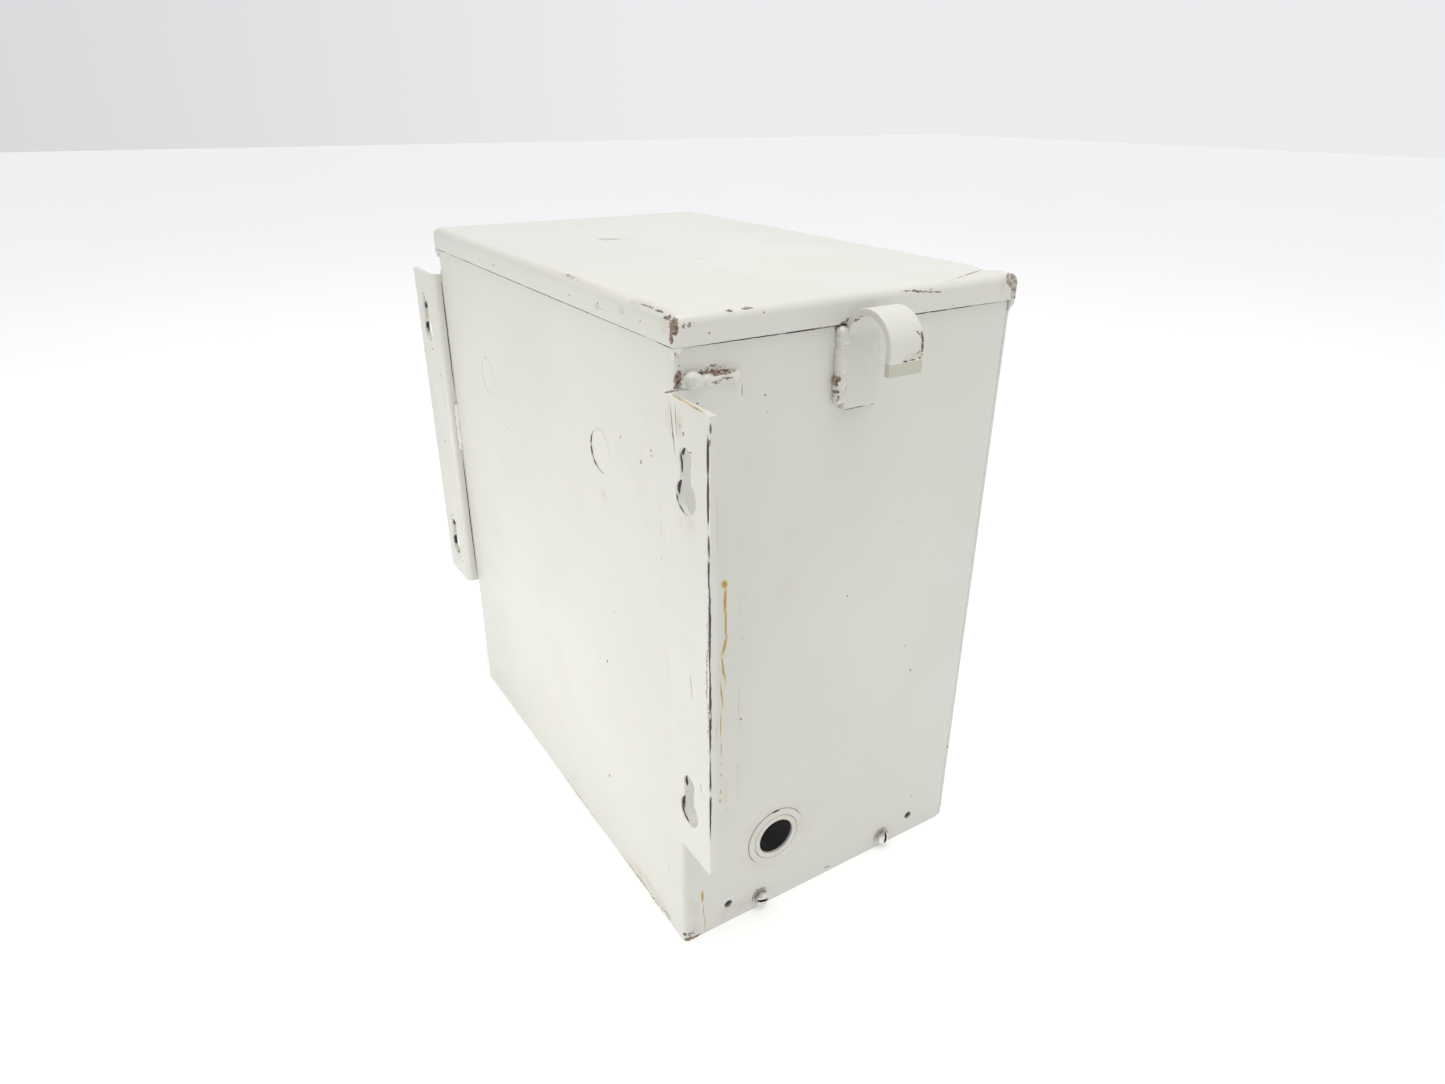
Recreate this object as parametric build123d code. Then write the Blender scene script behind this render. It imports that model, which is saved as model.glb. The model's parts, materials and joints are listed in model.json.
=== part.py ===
from build123d import *
import math
import os

# Meter socket enclosure: a welded steel box with a lapped top pan, two keyholed wall angles,
# two lifting hooks, a removable bottom plate, and a lift-off front cover with a round meter
# opening over a four-jaw socket. The walls are two side panels butt-welded flush to a back.
#
# Millimetres. The origin is the centre of the body's underside. +Z is up, the front faces -Y,
# the wall side faces +Y, and -X is the left side for someone who faces the front.

# ---- sheet metal box ------------------------------------------------------------------------
SHEET = 1.5                   # 16 gauge steel
FIT = 0.05                    # gap between welded or screwed sheets
BODY_W = 311.2                # 12 1/4 in over the side walls
BODY_D = 190.5                # 7 1/2 in over the front flanges and the back
HEIGHT = 342.9                # 13 1/2 in to the top of the cap
LIP = 12.7                    # 1/2 in lip of the cap, down over the walls
BEND_R = 3.0                  # outside radius of the shell's bends
CAP_R = 4.5                   # outside radius of the cap's edges
FLANGE = 15.0                 # front flanges and bottom plate flanges
RETURN = 16.0                 # how far each side panel reaches round onto the back

SIDE = BODY_W / 2             # the side wall's outer face, at X = -SIDE and +SIDE
FRONT = -BODY_D / 2
BACK = BODY_D / 2
LIP_Z = HEIGHT - LIP
SHELL_TOP = HEIGHT - CAP_R

# ---- front cover, tilting on its top edge behind the cap's front lip ------------------------
COVER_GAP = 0.2
COVER_BACK = FRONT - COVER_GAP
COVER_FACE = COVER_BACK - SHEET
COVER_W = 310.2
COVER_Z0 = 1.0
COVER_TOP = 337.0
TILT_Y = COVER_BACK - SHEET / 2
TILT_Z = LIP_Z + 0.8
LIP_GAP = 1.0                 # between the cover's face and the cap's front lip
NOTCH_DEPTH = 4.3             # room for the cover's top edge to swing back
METER_Z = 178.0
METER_R = 79.4                # 6 1/4 in opening
COLLAR_H = 12.0

# ---- wall angles ----------------------------------------------------------------------------
LEG = 38.1                    # 1 1/2 in equal-leg angle
ANGLE_T = 3.2
ANGLE_Z0 = 86.0
ANGLE_Z1 = 313.2
WALL_PLANE = 102.5            # the rear face of both angles, the face that meets the wall
KEY_X = SIDE + LEG / 2
KEY_WIDE_R = 8.0
KEY_NARROW_R = 5.0
KEY_NECK_R = 4.3
KEY_LENGTH = 29.0
KEY_WIDE_Z = (274.4, 110.9)   # centres of the wide circles

# ---- lifting hooks --------------------------------------------------------------------------
STRAP_W = 19.05               # 3/4 in flat strap
STRAP_T = 3.2
HOOK_R = 15.7                 # outside radius of the arch
HOOK_ARCH_Z = 323.4
HOOK_BACK_Z0 = 291.0
HOOK_TIP_Z0 = 312.6

# ---- knockouts, screws and small holes in the walls -----------------------------------------
SIDE_KO_Y = 36.0
SIDE_KO_Z = 47.5
KO_HOLE_R = 11.1              # 1/2 in trade size, 22.2 mm
KO_MIDDLE_R = 14.3            # 3/4 in trade size, 28.6 mm
KO_OUTER_R = 18.4             # 1 in trade size with its sheared rim
KO_GAP = 0.3
KO_SHIFT = 0.6                # how far a half-sheared ring stands out of the wall
TIE_W = 3.0
BACK_KO_X = 79.6
BACK_KO_Z = 263.0
BACK_KO_TILT = 3.0
BOTTOM_KO_Y = 25.0
BOTTOM_KO_R = (17.45, 21.85)  # 1 in and 1 1/4 in trade sizes
SCREW_Y = 45.5
SCREW_Z = 7.4
SMALL_HOLE_Y = 67.0
SMALL_HOLE_Z = 13.2
SMALL_HOLE_R = 2.55

# ---- hasp and sealing staple ----------------------------------------------------------------
STAPLE_T = 2.5
STAPLE_Z = (8.5, 18.5)
STAPLE_REACH = -112.0
PADLOCK_R = 3.25
HASP_W = 28.0
HASP_T = 2.0
HASP_Z0 = 3.0
HASP_AXIS_Y = -100.5
HASP_AXIS_Z = 44.0
KNUCKLE_R = 3.0
PIN_R = 1.5
RUNNING = 0.05

# ---- meter socket ---------------------------------------------------------------------------
BRIDGE_W = 124.0
BRIDGE_T = 2.0
BRIDGE_Z = (78.0, 278.0)
BRIDGE_FACE = -26.0
BLOCK_W = 112.0
BLOCK_T = 24.0
BLOCK_FACE = BRIDGE_FACE - BLOCK_T
BLOCK_SCREW_X = 51.5
BLOCK_SCREW_R = 2.25
JAW_X = 35.0
JAW_OFFSET = 47.6             # each pair of jaws above and below the meter's centre
JAW_W = 19.0
JAW_DEEP = 31.0
LEAF_T = 1.5
TANG_T = 2.5
TANG_W = 24.0
TANG_SCREW_R = 2.0
TANG_SCREW_OFFSET = 13.75     # from a jaw's centre to the screw between it and its lug
LUG_OFFSET = 30.0             # from a jaw's centre to its lug's centre
LUG = 24.0
LUG_BORE_R = 6.5
LUG_SCREW_R = 5.0
NEUTRAL_X = 13.0
NEUTRAL_FACE = -54.0
GROUND_X = -112.0
GROUND_Y = 40.0


# ---- small helpers --------------------------------------------------------------------------
def slab(x0, x1, y0, y1, z0, z1):
    """A box between two opposite corners."""
    centre = Pos((x0 + x1) / 2, (y0 + y1) / 2, (z0 + z1) / 2)
    return centre * Box(x1 - x0, y1 - y0, z1 - z0)


def rod(axis, centre, radius, length):
    """A cylinder along X, Y or Z, centred on a point."""
    turns = {"X": Rot(0, 90, 0), "Y": Rot(90, 0, 0), "Z": Rot(0, 0, 0)}
    return Pos(*centre) * turns[axis] * Cylinder(radius, length)


def hexagon(axis, centre, across_flats, length):
    """A hexagonal bar along X, Y or Z, centred on a point."""
    turns = {"X": Rot(0, 90, 0), "Y": Rot(90, 0, 0), "Z": Rot(0, 0, 0)}
    outline = RegularPolygon(across_flats / 2, 6, major_radius=False)
    bar = extrude(outline, length / 2, both=True)
    return Pos(*centre) * turns[axis] * bar


def mirrored(shape):
    """The same shape on the other side of the box."""
    return mirror(shape, about=Plane.YZ)


def both_sides(shape):
    return [shape, mirrored(shape)]


def group(pieces):
    """Separate solids that share one node."""
    solids = [solid for piece in pieces for solid in piece.solids()]
    return Compound(solids)


# ---- box ------------------------------------------------------------------------------------
def body_block():
    """The space inside the body's outer faces."""
    return extrude(RectangleRounded(BODY_W, BODY_D, BEND_R), SHELL_TOP)


def walls():
    """The side panels and back together, with inturned front flanges and round rear bends."""
    hollow = RectangleRounded(BODY_W - 2 * SHEET, BODY_D - 2 * SHEET, BEND_R - SHEET)
    shell = body_block() - extrude(hollow, SHELL_TOP)
    window = SIDE - FLANGE
    shell -= slab(-window, window, FRONT - 1, FRONT + SHEET + 1, -1, HEIGHT)
    shell -= slab(-SIDE - 1, SIDE + 1, FRONT - 1, FRONT + NOTCH_DEPTH, LIP_Z + 0.3, HEIGHT)
    cuts = []
    for side in (-1, 1):
        wall = side * (SIDE - SHEET / 2)
        cuts.append(rod("X", (wall, SIDE_KO_Y, SIDE_KO_Z), KO_OUTER_R, 4 * SHEET))
        cuts.append(rod("Y", (side * BACK_KO_X, BACK - SHEET / 2, BACK_KO_Z), KO_HOLE_R, 4 * SHEET))
        for end in (-1, 1):
            cuts.append(rod("X", (wall, end * SCREW_Y, SCREW_Z), 2.5, 4 * SHEET))
            cuts.append(rod("X", (wall, end * SMALL_HOLE_Y, SMALL_HOLE_Z), SMALL_HOLE_R, 4 * SHEET))
    for cut in cuts:
        shell -= cut
    return shell


def left_side_panel(shell):
    """The left wall with its front flange and its rear bend."""
    return shell & slab(-SIDE - 1, -SIDE + RETURN, FRONT - 1, BACK + 1, -1, HEIGHT)


def back_panel(shell):
    """The flat sheet between the two side panels' rear bends."""
    return shell & slab(-SIDE + RETURN, SIDE - RETURN, 0, BACK + 1, -1, HEIGHT)


def cap_block():
    """The space inside the cap's outer faces."""
    half = SIDE + FIT + SHEET
    front = COVER_FACE - LIP_GAP - SHEET
    block = slab(-half, half, front, BACK + FIT + SHEET, LIP_Z, HEIGHT)
    block = fillet(block.edges().filter_by(Axis.Z), CAP_R)
    return fillet(block.edges().group_by(Axis.Z)[-1], CAP_R - 0.1)


def top_cap():
    """A shallow pan, welded at its corners, whose lip laps over the walls and the cover."""
    inside_r = CAP_R - SHEET
    front = COVER_FACE - LIP_GAP
    hollow = slab(-SIDE - FIT, SIDE + FIT, front, BACK + FIT, LIP_Z - 1, HEIGHT - SHEET)
    hollow = fillet(hollow.edges().filter_by(Axis.Z), inside_r - 0.1)
    hollow = fillet(hollow.edges().group_by(Axis.Z)[-1], inside_r - 0.2)
    return cap_block() - hollow


def cap_corner_welds():
    """A small weld nub under the lip at each corner of the box."""
    nub_r = 3.4
    rear = Pos(-SIDE + 0.9, BACK - 0.9, LIP_Z - 1.2) * Sphere(nub_r) - body_block()
    front = Pos(-SIDE + 0.9, FRONT + 1.8, LIP_Z - 1.2) * Sphere(nub_r - 1.0)
    front &= slab(-SIDE - 9, -SIDE, FRONT, FRONT + 9, 0, LIP_Z)
    nubs = []
    for blob in (rear, front):
        blob = blob & slab(-SIDE - 9, SIDE, FRONT - 9, BACK + 9, 0, LIP_Z)
        nubs += both_sides(blob.solids().sort_by(SortBy.VOLUME)[-1])
    return group(nubs)


def bottom_plate():
    """A plate inside the walls, with flanges turned up on all four sides."""
    half = SIDE - SHEET - 0.1
    front = FRONT + SHEET + 0.1
    rear = BACK - SHEET - 0.1
    plate = slab(-half, half, front, rear, 0, FLANGE)
    plate -= slab(-half + SHEET, half - SHEET, front + SHEET, rear - SHEET, SHEET, FLANGE + 1)
    sill = slab(-half + 20, half - 20, front, front + SHEET, SHEET, FLANGE + 9)
    plate += sill
    corner = BEND_R + 1
    for x in (-half, half):
        for y in (front, rear):
            plate -= slab(x - corner, x + corner, y - corner, y + corner, SHEET + 1, FLANGE + 1)
            plate -= slab(x - 1.6, x + 1.6, y - 1.6, y + 1.6, -1, FLANGE + 1)
        for end in (-1, 1):
            plate -= rod("X", (x, end * SCREW_Y, SCREW_Z), 2.35, 4 * SHEET)
            plate -= rod("X", (x, end * SMALL_HOLE_Y, SMALL_HOLE_Z), SMALL_HOLE_R, 4 * SHEET)
    plate -= rod("Z", (0, BOTTOM_KO_Y, SHEET / 2), BOTTOM_KO_R[1] + KO_GAP, 4 * SHEET)
    slot = STAPLE_T / 2 + 0.3
    plate -= slab(-slot, slot, front - 1, front + SHEET + 1, STAPLE_Z[0] - 0.3, STAPLE_Z[1] + 0.3)
    return plate


# ---- half-sheared knockouts -----------------------------------------------------------------
def knockout(radius, inner_radius, tie_turn):
    """A ring or disc in the XY plane, centred on the origin, held by two ties at its rim."""
    ring = Cylinder(radius - KO_GAP, SHEET)
    reach = radius - KO_GAP / 2
    tie = Box(2 * reach + KO_GAP, TIE_W, SHEET - KO_SHIFT)
    tie = Pos(0, 0, -KO_SHIFT / 2) * tie & Cylinder(radius, SHEET)
    ring += Rot(0, 0, tie_turn) * tie
    if inner_radius:
        ring -= Cylinder(inner_radius, 2 * SHEET)
    return ring


def side_knockout(pieces):
    """Knockout pieces set in the left wall, on their common centre."""
    place = Pos(-SIDE + SHEET / 2 - KO_SHIFT, SIDE_KO_Y, SIDE_KO_Z) * Rot(0, -90, 0)
    return group([place * piece for piece in pieces])


def knockout_rings():
    """The two rings left in a wall when the centre disc has been punched out."""
    middle = knockout(KO_MIDDLE_R, KO_HOLE_R, 90)
    return [knockout(KO_OUTER_R, KO_MIDDLE_R, 0), middle]


def left_knockout_rings():
    return side_knockout(knockout_rings())


def right_knockout_rings():
    """The same knockout, still complete."""
    return mirrored(side_knockout(knockout_rings() + [knockout(KO_HOLE_R, 0, 0)]))


def back_knockout_discs():
    """Two discs in the back, each pushed a little out of square."""
    disc = Rot(0, BACK_KO_TILT, 0) * knockout(KO_HOLE_R - 0.1, 0, 90)
    place = Pos(-BACK_KO_X, BACK - SHEET / 2 + KO_SHIFT, BACK_KO_Z) * Rot(-90, 0, 0)
    return group(both_sides(place * disc))


def bottom_knockout_rings():
    inner, outer = BOTTOM_KO_R
    pieces = [knockout(outer + KO_GAP, inner + KO_GAP, 0), knockout(inner + KO_GAP, 0, 90)]
    place = Pos(0, BOTTOM_KO_Y, SHEET / 2 + KO_SHIFT)
    return group([place * piece for piece in pieces])


# ---- screws and rivets ----------------------------------------------------------------------
def slotted_screw(shank_r, length, flats, head_h, flange_r):
    """A slotted hex washer head screw along Z: the flange's seat is at Z = 0, the head above."""
    screw = rod("Z", (0, 0, 0.5), flange_r, 1.0)
    screw += hexagon("Z", (0, 0, head_h / 2), flats, head_h)
    screw = screw & (Pos(0, 0, head_h / 2 - 4.3) * Sphere(head_h / 2 + 4.3 + 0.3))
    screw += rod("Z", (0, 0, -length / 2), shank_r, length)
    return screw - slab(-flats, flats, -0.65, 0.65, head_h - 1.4, head_h + 1)


def bottom_plate_screws():
    """Two hex washer head screws low on each side hold the bottom plate."""
    screw = slotted_screw(2.25, 9.0, 7.94, 4.2, 5.4)
    places = []
    for end in (-1, 1):
        turned = Rot(0, -90, 0) * Rot(0, 0, 35 + 40 * end) * screw
        places += both_sides(Pos(-SIDE, end * SCREW_Y, SCREW_Z) * turned)
    return group(places)


def pan_screw(radius, length, head_r, head_h):
    """A round-headed slotted screw along Y: the head faces the front, its seat is at Y = 0."""
    screw = rod("Y", (0, -head_h / 2, 0), head_r, head_h)
    screw = fillet(screw.edges().filter_by(GeomType.CIRCLE).group_by(Axis.Y)[0], head_h * 0.55)
    screw += rod("Y", (0, length / 2, 0), radius, length)
    return screw - slab(-head_r, head_r, -head_h - 1, -head_h * 0.55, -0.5, 0.5)


# ---- wall angles and lifting hooks ----------------------------------------------------------
def keyhole(z):
    """A keyhole through a wall angle: wide circle low, narrow round end above it."""
    y = WALL_PLANE - ANGLE_T / 2
    top = z - KEY_WIDE_R + KEY_LENGTH - KEY_NARROW_R
    cut = rod("Y", (-KEY_X, y, z), KEY_WIDE_R, 4 * ANGLE_T)
    cut += rod("Y", (-KEY_X, y, top), KEY_NARROW_R, 4 * ANGLE_T)
    neck = slab(-KEY_X - KEY_NECK_R, -KEY_X + KEY_NECK_R, y - 2 * ANGLE_T, y + 2 * ANGLE_T, z, top)
    return cut + neck


def left_mounting_angle():
    """Rolled angle: one leg flat on the side wall, the other standing out behind the box."""
    side_leg = slab(-SIDE - ANGLE_T, -SIDE, WALL_PLANE - LEG, WALL_PLANE, ANGLE_Z0, ANGLE_Z1)
    wall_leg = slab(-SIDE - LEG, -SIDE, WALL_PLANE - ANGLE_T, WALL_PLANE, ANGLE_Z0, ANGLE_Z1)
    angle = side_leg + wall_leg
    upright = angle.edges().filter_by(Axis.Z)
    heel = upright.sort_by_distance((-SIDE, WALL_PLANE, ANGLE_Z0))[0]
    angle = fillet(heel, 4.5)
    inner = (-SIDE - ANGLE_T, WALL_PLANE - ANGLE_T, ANGLE_Z0)
    angle = fillet(angle.edges().filter_by(Axis.Z).sort_by_distance(inner)[0], 2.5)
    toe = (-SIDE - LEG, WALL_PLANE, ANGLE_Z0)
    angle = fillet(angle.edges().filter_by(Axis.Z).sort_by_distance(toe)[0], 0.9)
    for z in KEY_WIDE_Z:
        angle -= keyhole(z)
    return angle


def left_lifting_hook():
    """A flat strap on the side wall, arched outwards and back down to form a hook."""
    arch_x = -SIDE - HOOK_R
    centre = (arch_x, 0, HOOK_ARCH_Z)
    inner_r = HOOK_R - STRAP_T
    half = STRAP_W / 2
    arch = rod("Y", centre, HOOK_R, STRAP_W) - rod("Y", centre, inner_r, STRAP_W + 2)
    arch -= slab(arch_x - 20, arch_x + 20, -20, 20, HOOK_ARCH_Z - 20, HOOK_ARCH_Z)
    back_leg = slab(-SIDE - STRAP_T, -SIDE, -half, half, HOOK_BACK_Z0, HOOK_ARCH_Z)
    tip_leg = slab(arch_x - HOOK_R, arch_x - inner_r, -half, half, HOOK_TIP_Z0, HOOK_ARCH_Z)
    hook = arch + back_leg + tip_leg
    rims = hook.faces().filter_by(Axis.Y)
    return fillet([edge for rim in rims for edge in rim.edges()], 0.5)


# ---- weld beads -----------------------------------------------------------------------------
def bead(axis, start, end, radius):
    """A straight weld bead with round ends, between two points on a line along Y or Z."""
    middle = [(a + b) / 2 for a, b in zip(start, end)]
    length = math.dist(start, end)
    weld = rod(axis, middle, radius, length)
    for tip in (start, end):
        weld += Pos(*tip) * Sphere(radius)
    return weld


def angle_weld_beads():
    """Each angle's welds: along the top of its side leg, and a stitch behind its heel."""
    outside = slab(-SIDE - 9, -SIDE, WALL_PLANE - LEG - 9, BACK + 9, ANGLE_Z1, ANGLE_Z1 + 9)
    y0 = WALL_PLANE - LEG + 3
    top = bead("Y", (-SIDE - 1.2, y0, ANGLE_Z1), (-SIDE - 1.2, BACK - 1.5, ANGLE_Z1), 3.6) & outside
    stitch_x = -SIDE + 1.2
    stitch = bead("Z", (stitch_x, BACK, 192), (stitch_x, BACK, 226), 2.6)
    stitch = stitch - body_block() - slab(-SIDE - 9, -SIDE, 0, 200, 0, HEIGHT)
    return group(both_sides(top) + both_sides(stitch))


def hook_weld_beads():
    """Each hook's welds: one down each edge of the strap's back leg."""
    hook = left_lifting_hook()
    beads = []
    for end in (-1, 1):
        y = end * (STRAP_W / 2 + 1.4)
        weld = bead("Z", (-SIDE, y, HOOK_BACK_Z0 + 4), (-SIDE, y, LIP_Z - 6), 3.9)
        outside = slab(-SIDE - 9, -SIDE, -30, 30, 0, LIP_Z)
        half = STRAP_W / 2
        strap = slab(-SIDE - 9, -SIDE, -half + 0.6, half - 0.6, 0, HEIGHT)
        beads += both_sides((weld & outside) - strap - hook)
    return group(beads)


# ---- front cover, hasp and staple -----------------------------------------------------------
def meter_collar():
    """The drawn rim round the meter opening, turned in at its front edge."""
    mid = COVER_FACE + SHEET / 2
    rim = COVER_FACE - COLLAR_H + SHEET / 2
    section = FilletPolyline((METER_R + 14, mid), (METER_R + 5, mid), (METER_R + 3, rim),
                             (METER_R, rim), radius=2.0)
    return Pos(0, 0, METER_Z) * revolve(trace(section, SHEET), Axis.Y)


def front_cover():
    half = COVER_W / 2
    cover = slab(-half, half, COVER_FACE, COVER_BACK, COVER_Z0, COVER_TOP)
    for side in (-1, 1):
        ear = sorted((side * (half + 1), side * (half - 1.8)))
        cover -= slab(*ear, COVER_FACE - 1, COVER_BACK + 1, LIP_Z - 0.7, COVER_TOP + 1)
    cover -= rod("Y", (0, TILT_Y, METER_Z), METER_R + 12, 4 * SHEET)
    cover += meter_collar()
    slot = STAPLE_T / 2 + 0.9
    cover -= slab(-slot, slot, COVER_FACE - 1, COVER_BACK + 1, STAPLE_Z[0] - 1.7, STAPLE_Z[1] + 1.7)
    for x in (-9, 9):
        cover -= rod("Y", (x, TILT_Y, HASP_AXIS_Z + 9), 1.6, 4 * SHEET)
    return cover


def hasp_bracket():
    """A plate riveted to the cover, with a knuckle at each end of the hinge pin."""
    half = HASP_W / 2
    bracket = slab(-half, half, COVER_FACE - SHEET, COVER_FACE, HASP_AXIS_Z + 3, HASP_AXIS_Z + 14)
    for side in (-1, 1):
        x = side * (half - 4)
        bracket += rod("X", (x, HASP_AXIS_Y, HASP_AXIS_Z), KNUCKLE_R, 8)
        neck = COVER_FACE - 0.3
        bracket += slab(x - 4, x + 4, neck - SHEET, neck, HASP_AXIS_Z, HASP_AXIS_Z + 4)
        bracket -= rod("X", (x, HASP_AXIS_Y, HASP_AXIS_Z), PIN_R + 0.01, 10)
        bracket -= rod("Y", (side * 9, TILT_Y, HASP_AXIS_Z + 9), 1.6, 20)
    return bracket


def hasp_rivets():
    rivets = []
    for x in (-9, 9):
        rivet = rod("Y", (x, -1.1, 0), 3.0, 1.6)
        rivet = fillet(rivet.edges().filter_by(GeomType.CIRCLE).group_by(Axis.Y)[0], 1.2)
        rivet += rod("Y", (x, 1.3, 0), 1.55, 3.6)
        rivet += rod("Y", (x, 3.2, 0), 2.4, 0.6)
        rivets.append(Pos(0, COVER_FACE - SHEET + 0.3, HASP_AXIS_Z + 9) * rivet)
    return group(rivets)


def hasp_hinge_pin():
    return rod("X", (0, HASP_AXIS_Y, HASP_AXIS_Z), PIN_R, HASP_W + 1)


def cover_hasp():
    """The strap that hangs over the staple, with its knuckle in the middle of the pin."""
    half = HASP_W / 2
    back = COVER_FACE - 0.3
    strap = slab(-half, half, back - HASP_T, back, HASP_Z0, HASP_AXIS_Z - 3.5)
    strap = fillet(strap.edges().filter_by(Axis.Y).group_by(Axis.Z)[0], 6.0)
    strap += rod("X", (0, HASP_AXIS_Y, HASP_AXIS_Z), KNUCKLE_R, 11.2)
    strap += slab(-5.6, 5.6, back - HASP_T, back, HASP_AXIS_Z - 4, HASP_AXIS_Z)
    strap -= rod("X", (0, HASP_AXIS_Y, HASP_AXIS_Z), PIN_R + RUNNING, 20)
    slot = STAPLE_T / 2 + 0.9
    return strap - slab(-slot, slot, back - 9, back + 9, 6.1, STAPLE_Z[1] + 0.8)


def seal_staple():
    """A tab that passes through the sill, the cover and the hasp, with a padlock hole."""
    sill_back = FRONT + SHEET + 0.1 + SHEET
    half = STAPLE_T / 2
    tab = slab(-half, half, STAPLE_REACH, sill_back + 1, *STAPLE_Z)
    tab = fillet(tab.edges().filter_by(Axis.X).group_by(Axis.Y)[0], 3.0)
    tab += slab(-12, 12, sill_back, sill_back + STAPLE_T, 5, 22)
    return tab - rod("X", (0, STAPLE_REACH + 5.6, sum(STAPLE_Z) / 2), PADLOCK_R, 9)


# ---- meter socket ---------------------------------------------------------------------------
def block_screw_places():
    """The X and Z of the four screws that hold the blocks to the bridge."""
    lift = JAW_OFFSET + 15
    return [(x, METER_Z + z) for z in (lift, -lift) for x in (-BLOCK_SCREW_X, BLOCK_SCREW_X)]


def socket_bridge():
    """A deep channel, spot-welded to the back, that carries the socket near the cover."""
    half = BRIDGE_W / 2
    z0, z1 = BRIDGE_Z
    foot = BACK - SHEET
    bridge = slab(-half, half, BRIDGE_FACE, BRIDGE_FACE + BRIDGE_T, z0, z1)
    for side in (-1, 1):
        web = sorted((side * half, side * (half - BRIDGE_T)))
        bridge += slab(*web, BRIDGE_FACE, foot, z0, z1)
        pad = sorted((side * half, side * (half + 16)))
        bridge += slab(*pad, foot - BRIDGE_T, foot, z0, z1)
        for z in (z0 + 45, (z0 + z1) / 2, z1 - 45):
            bridge -= slab(*web, BRIDGE_FACE + 35, foot - 30, z - 18, z + 18)
    for x, z in block_screw_places():
        bridge -= rod("Y", (x, BRIDGE_FACE, z), BLOCK_SCREW_R + RUNNING, 4 * BRIDGE_T)
    return bridge


def row_sign(row):
    return 1 if row == "line" else -1


def socket_block(row):
    """The insulating bar under one pair of jaws: line above, load below."""
    sign = row_sign(row)
    jaw_z = METER_Z + sign * JAW_OFFSET
    ends = sorted((jaw_z - sign * 16, jaw_z + sign * 46))
    half = BLOCK_W / 2
    block = slab(-half, half, BLOCK_FACE, BRIDGE_FACE, *ends)
    block = fillet(block.edges().filter_by(Axis.Y), 4.0)
    block = chamfer(block.faces().sort_by(Axis.Y)[0].edges(), 1.2)
    block -= slab(-9, 9, BLOCK_FACE - 1, BLOCK_FACE + 8, ends[0] - 1, ends[1] + 1)
    for x, z in block_screw_places():
        block -= rod("Y", (x, BRIDGE_FACE, z), BLOCK_SCREW_R + RUNNING, 80)
    for x in (-JAW_X, JAW_X):
        hole_z = jaw_z + sign * TANG_SCREW_OFFSET
        block -= rod("Y", (x, BLOCK_FACE, hole_z), TANG_SCREW_R + RUNNING, 30)
    return block


def jaw_place(side, row):
    """The point on the block's face behind a jaw."""
    return Pos(side * JAW_X, BLOCK_FACE, METER_Z + row_sign(row) * JAW_OFFSET)


def jaw(side, row):
    """Two spring leaves that pinch the meter's blade and flare at the mouth."""
    base = -TANG_T - LEAF_T / 2
    line = FilletPolyline((9.5, base), (4.6, base), (1.9, base - JAW_DEEP * 0.68),
                          (5.6, base - JAW_DEEP), radius=1.4)
    leaf = extrude(trace(line, LEAF_T), JAW_W / 2, both=True)
    place = jaw_place(side, row)
    return group([place * leaf, place * mirrored(leaf)])


def jaw_springs():
    """A steel clip round each jaw that presses its leaves together."""
    foot = -TANG_T - LEAF_T - 0.45
    clips = []
    for row in ("line", "load"):
        for side in (-1, 1):
            for hand in (-1, 1):
                path = FilletPolyline((hand * 9.3, foot), (hand * 6.1, foot),
                                      (hand * 3.45, foot - 20.0), radius=1.0)
                clip = extrude(trace(path, 0.9), 5.0, both=True)
                clips.append(jaw_place(side, row) * clip)
    return group(clips)


def lug(side, row):
    """A box lug on a tang that runs under the jaw, with a wire bore and a set screw hole."""
    sign = row_sign(row)
    half = TANG_W / 2
    tang = slab(-half, half, -TANG_T, 0, *sorted((-sign * 12, sign * (LUG_OFFSET + 12))))
    tang -= rod("Y", (0, 0, sign * TANG_SCREW_OFFSET), TANG_SCREW_R + RUNNING, 20)
    body = slab(-LUG / 2, LUG / 2, -TANG_T - LUG, -TANG_T, LUG_OFFSET - 12, LUG_OFFSET + 12)
    body = fillet(body.edges().filter_by(Axis.Z), 2.5)
    if sign < 0:
        body = mirror(body, about=Plane.XY)
    bore_y = -TANG_T - LUG / 2 + 1.5
    body -= rod("Z", (0, bore_y, sign * LUG_OFFSET), LUG_BORE_R, LUG + 2)
    body -= rod("Y", (0, -TANG_T - LUG, sign * LUG_OFFSET), LUG_SCREW_R + RUNNING, LUG)
    return jaw_place(side, row) * (tang + body)


def set_screw(radius, length):
    """A socket set screw along Y, its hexagon socket facing the front at Y = 0."""
    screw = rod("Y", (0, length / 2, 0), radius, length)
    screw = chamfer(screw.edges().filter_by(GeomType.CIRCLE), 0.5)
    return screw - hexagon("Y", (0, 0, 0), radius * 1.1, length * 0.9)


def lug_set_screws():
    screw = Pos(0, -TANG_T - LUG - 1.5, 0) * set_screw(LUG_SCREW_R, 6.5)
    screws = []
    for row in ("line", "load"):
        lift = Pos(0, 0, row_sign(row) * LUG_OFFSET)
        screws += [jaw_place(side, row) * lift * screw for side in (-1, 1)]
    return group(screws)


def tang_screws():
    """Four screws that hold the tangs, with their jaws and lugs, to the blocks."""
    screw = Pos(0, -TANG_T, 0) * pan_screw(TANG_SCREW_R, 12, 3.6, 2.2)
    screws = []
    for row in ("line", "load"):
        lift = Pos(0, 0, row_sign(row) * TANG_SCREW_OFFSET)
        screws += [jaw_place(side, row) * lift * screw for side in (-1, 1)]
    return group(screws)


def block_screws():
    """Four screws through the blocks into the bridge."""
    screw = pan_screw(BLOCK_SCREW_R, BLOCK_T + 5, 4.0, 2.6)
    return group([Pos(x, BLOCK_FACE, z) * screw for x, z in block_screw_places()])


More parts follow.
